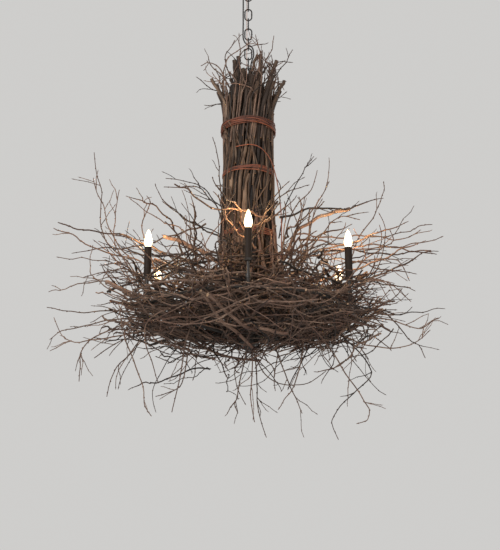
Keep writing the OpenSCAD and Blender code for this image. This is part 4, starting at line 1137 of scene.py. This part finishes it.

# Loose ends that stand out one by one, given as drawn lines: rising, reaching out and hanging
loose_ends = [
    [(-.3, -.03, .05), (-.38, -.05, .17), (-.43, -.05, .21), (-.46, -.05, .26), (-.47, -.05, .33),
     (-.47, -.05, .4), (-.49, -.05, .47), (-.5, -.05, .54)],
    [(-.3, .03, .08), (-.36, .02, .18), (-.42, .02, .25), (-.46, .02, .32), (-.47, .02, .38),
     (-.5, .02, .44), (-.51, .02, .48)],
    [(-.3, 0, .05), (-.39, 0, .18), (-.43, 0, .26), (-.43, 0, .34), (-.42, 0, .43)],
    [(-.27, -.12, .06), (-.3, -.12, .16), (-.33, -.1, .27), (-.31, -.1, .34), (-.32, -.1, .37)],
    [(-.15, -.12, .05), (-.22, -.15, .09), (-.29, -.2, .13), (-.35, -.22, .18), (-.4, -.24, .19)],
    [(-.08, .08, .2), (-.09, .05, .36), (-.13, .05, .42), (-.17, .05, .46), (-.23, .05, .46),
     (-.28, .05, .46)],
    [(-.05, -.1, .15), (-.07, -.1, .31), (-.11, -.05, .37), (-.15, 0, .44), (-.2, 0, .46),
     (-.27, 0, .47)],
    [(-.1, -.08, .08), (-.14, -.08, .17), (-.18, -.08, .2), (-.24, -.09, .23), (-.27, -.1, .24)],
    [(-.22, -.15, -.02), (-.29, -.2, -.01), (-.34, -.25, 0), (-.38, -.28, .01), (-.41, -.3, .02)],
    [(-.25, -.04, -.01), (-.33, -.05, 0), (-.42, -.08, 0), (-.5, -.1, -.01), (-.56, -.12, -.01),
     (-.61, -.12, 0)],
    [(-.28, -.08, -.02), (-.36, -.1, -.03), (-.44, -.14, -.05), (-.5, -.16, -.07), (-.55, -.18, -.09),
     (-.58, -.2, -.12)],
    [(-.32, 0, -.04), (-.4, 0, -.06), (-.48, 0, -.07), (-.54, 0, -.08), (-.58, 0, -.06), (-.61, 0, 0)],
    [(-.35, -.08, -.03), (-.43, -.1, -.07), (-.48, -.12, -.11), (-.5, -.13, -.15), (-.5, -.13, -.19),
     (-.5, -.13, -.23)],
    [(-.25, -.1, -.05), (-.3, -.1, -.07), (-.36, -.1, -.14), (-.4, -.1, -.19), (-.42, -.1, -.27)],
    [(-.36, -.04, -.03), (-.38, -.05, -.07), (-.35, -.05, -.15), (-.32, -.05, -.23), (-.31, -.05, -.29),
     (-.29, -.05, -.32)],
    [(-.17, -.05, -.06), (-.18, -.05, -.1), (-.19, -.05, -.18), (-.21, -.05, -.23), (-.25, -.05, -.25),
     (-.28, -.05, -.26)],
    [(0, -.1, -.07), (0, -.1, -.11), (-.02, -.1, -.2), (-.03, -.1, -.27), (-.04, -.1, -.29),
     (-.03, -.1, -.32)],
    [(0, .02, -.08), (.01, 0, -.11), (.01, 0, -.2), (.01, 0, -.26), (.02, 0, -.33)],
    [(.06, -.1, -.07), (.08, -.1, -.11), (.11, -.1, -.2), (.14, -.1, -.27), (.16, -.1, -.32)],
    [(.17, -.05, -.08), (.16, -.05, -.15), (.14, -.05, -.23), (.11, -.05, -.27), (.09, -.05, -.3)],
    [(.2, -.1, -.06), (.25, -.1, -.13), (.29, -.1, -.2), (.34, -.1, -.27), (.36, -.1, -.31),
     (.35, -.1, -.34), (.32, -.1, -.35)],
    [(.24, -.05, -.04), (.3, -.05, -.08), (.36, -.05, -.15), (.37, -.05, -.2), (.32, -.05, -.25),
     (.27, -.05, -.3), (.25, -.05, -.34), (.27, -.05, -.39)],
    [(.3, -.08, -.02), (.4, -.1, -.03), (.46, -.12, -.05), (.51, -.14, -.07), (.55, -.15, -.05),
     (.57, -.15, -.04)],
    [(.3, 0, -.06), (.38, 0, -.09), (.46, 0, -.1), (.52, 0, -.08), (.57, 0, -.04)],
    [(.36, 0, .02), (.42, 0, .02), (.46, 0, -.01), (.5, 0, -.07), (.53, 0, -.09), (.55, 0, -.13)],
    [(.27, .05, .06), (.33, .05, .2), (.36, .05, .28), (.41, .05, .35), (.43, .05, .4), (.45, .05, .45),
     (.45, .05, .48)],
    [(.28, -.08, .06), (.35, -.1, .15), (.41, -.1, .19), (.45, -.1, .22), (.44, -.1, .26)],
    [(.11, -.08, .05), (.16, -.1, .15), (.22, -.1, .23), (.26, -.1, .28), (.3, -.1, .3),
     (.35, -.1, .29)],
    [(.24, -.08, .06), (.31, -.1, .09), (.39, -.12, .09), (.44, -.14, .06), (.49, -.15, .01)],
    [(.26, -.12, .08), (.32, -.15, .13), (.4, -.17, .14), (.45, -.2, .12), (.48, -.2, .06)],
    [(.11, .05, .25), (.14, .05, .36), (.17, .05, .41), (.21, .05, .45), (.23, .05, .52)],
    [(.1, .05, .28), (.12, .05, .38), (.16, .05, .47), (.19, .05, .53), (.22, .05, .57)],
    [(-.08, .05, .35), (-.09, .05, .45), (-.1, .05, .55), (-.12, .05, .64)],
    [(-.06, -.3, .0), (-.08, -.4, .05), (-.09, -.48, .08), (-.06, -.56, .06), (-.06, -.6, .03)],
    [(.07, .3, .04), (.09, .4, .06), (.09, .48, .1), (.06, .55, .11), (.04, .6, .12)],
    [(-.25, .21, .06), (-.3, .28, .1), (-.34, .34, .13), (-.38, .4, .12), (-.4, .44, .1)],
    [(.25, .21, .06), (.31, .26, .12), (.36, .31, .15), (.4, .36, .18), (.44, .4, .2)],
    [(-.25, -.22, .02), (-.3, -.27, .05), (-.36, -.32, .06), (-.41, -.35, .04), (-.46, -.37, .02)],
    [(.25, -.22, .02), (.31, -.26, .03), (.37, -.31, .03), (.41, -.35, 0), (.45, -.4, -.02)],
    [(-.17, -.15, -.06), (-.19, -.17, -.15), (-.2, -.19, -.24), (-.22, -.18, -.33)],
    [(.02, .2, -.05), (.03, .23, -.15), (.03, .24, -.24), (.06, .25, -.34)]]
stout_ends = [
    [(-.134, -.37, -.022), (-.1, -.32, -.055), (-.055, -.25, -.09), (.012, -.16, -.134)],
    [(-.113, -.385, -.036), (-.07, -.33, -.064), (-.02, -.28, -.086), (.02, -.24, -.1)],
    [(.03, -.27, -.098), (.07, -.26, -.106), (.115, -.25, -.112)],
    [(-.43, -.16, .068), (-.38, -.16, .046), (-.34, -.155, .027), (-.22, -.13, -.02)],
    [(-.26, -.13, .225), (-.17, -.13, .19), (-.09, -.13, .145), (-.03, -.15, .06)],
    [(.316, -.13, .315), (.26, -.13, .305), (.208, -.13, .275), (.136, -.13, .225), (.1, -.12, .12)],
    [(.3, -.22, .03), (.2, -.25, .0), (.1, -.28, -.02), (0, -.3, -.03), (-.1, -.28, -.02),
     (-.2, -.24, .01)]]
chance = random.Random(23)
for drawn in loose_ends:
    path = settled(along(chance, [Vector(k) + foot_level for k in drawn], .0024, .0012, sway=.0024 * 0.8,
                         bud_gap=0.026, bud=1.7))
    tone_value = chance.random()
    sides = shoots(chance, path, chance.randint(1, 4), 0.1, kink=0.28, bud_gap=0.022, pace=0.01)
    nest["nest_loose_ends"] += [(path, tone_value)] + [(settled(side), tone_value) for side in sides]
for drawn in stout_ends:
    path = settled(along(chance, [Vector(k) + foot_level for k in drawn], .0062, .0045, sway=.0062 * 0.8,
                         bud_gap=0.09, bud=1.12))
    # The stout ends lie low at the front and are given pale tones: painted light where the front light falls
    # on them.
    nest["nest_loose_ends"].append((path, chance.uniform(0.75, 1)))

for name, (stands_for, rounding) in nest_pieces.items():
    piece = rods(name + "_twigs", nest[name], rounding, [twig_bark, cut_wood])
    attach(piece, "fixture")
    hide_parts(stands_for)


# ---- Studio ----
# A pale floor far under the chandelier, clear from below, and a pale world that looks a
# little brighter than the light it gives. One large soft lamp stands to the left of the
# camera, a weaker one to its right and one behind.
floor_form = bmesh.new()
bmesh.ops.create_grid(floor_form, x_segments=8, y_segments=8, size=9)
bmesh.ops.translate(floor_form, verts=floor_form.verts[:], vec=(0, 0, -2.7))
floor_mesh = bpy.data.meshes.new("studio_floor")
floor_form.to_mesh(floor_mesh)
floor_form.free()
floor = bpy.data.objects.new("studio_floor", floor_mesh)
scene.collection.objects.link(floor)
floor_paint = mottled("floor_paint", (0.62, 0.61, 0.59), (0.66, 0.65, 0.63), 3, (0.7, 0.85), bump=0.02)
tree = floor_paint.node_tree
paint = tree.nodes["Principled BSDF"].outputs[0]
from_below = put(tree, "NewGeometry").outputs["Backfacing"]
nothing = put(tree, "BsdfTransparent").outputs[0]
sheer = put(tree, "MixShader", _0=from_below, _1=paint, _2=nothing).outputs[0]
tree.links.new(sheer, tree.nodes["Material Output"].inputs["Surface"])
floor_mesh.materials.append(floor_paint)

world = bpy.data.worlds.new("studio")
world.use_nodes = True
scene.world = world
tree = world.node_tree
background = tree.nodes["Background"]
ray = put(tree, "LightPath").outputs
seen = maths(tree, "ADD", ray["Is Camera Ray"], ray["Is Glossy Ray"], clamp=True)
seen = maths(tree, "ADD", seen, ray["Is Transmission Ray"], clamp=True)
background.inputs["Color"].default_value = (1, 0.99, 0.97, 1)
tree.links.new(ranged(tree, seen, To_Min=0.5, To_Max=0.62), background.inputs["Strength"])

middle_height = -1.1
for name, place, power, size in (
        ("key_lamp", (-1.9, -3.1, -0.3), 100, 1.5), ("fill_lamp", (2.2, -2.8, -2.1), 42, 2),
        ("rim_lamp", (1.2, 2.6, 0.7), 45, 1.4)):
    panel = bpy.data.lights.new(name, "AREA")
    panel.energy, panel.size = power, size
    lamp = bpy.data.objects.new(name, panel)
    lamp.location = place
    lamp.rotation_mode = "QUATERNION"
    ahead = Vector((0, 0, middle_height)) - Vector(place)
    lamp.rotation_quaternion = ahead.to_track_quat("-Z", "Y")
    scene.collection.objects.link(lamp)
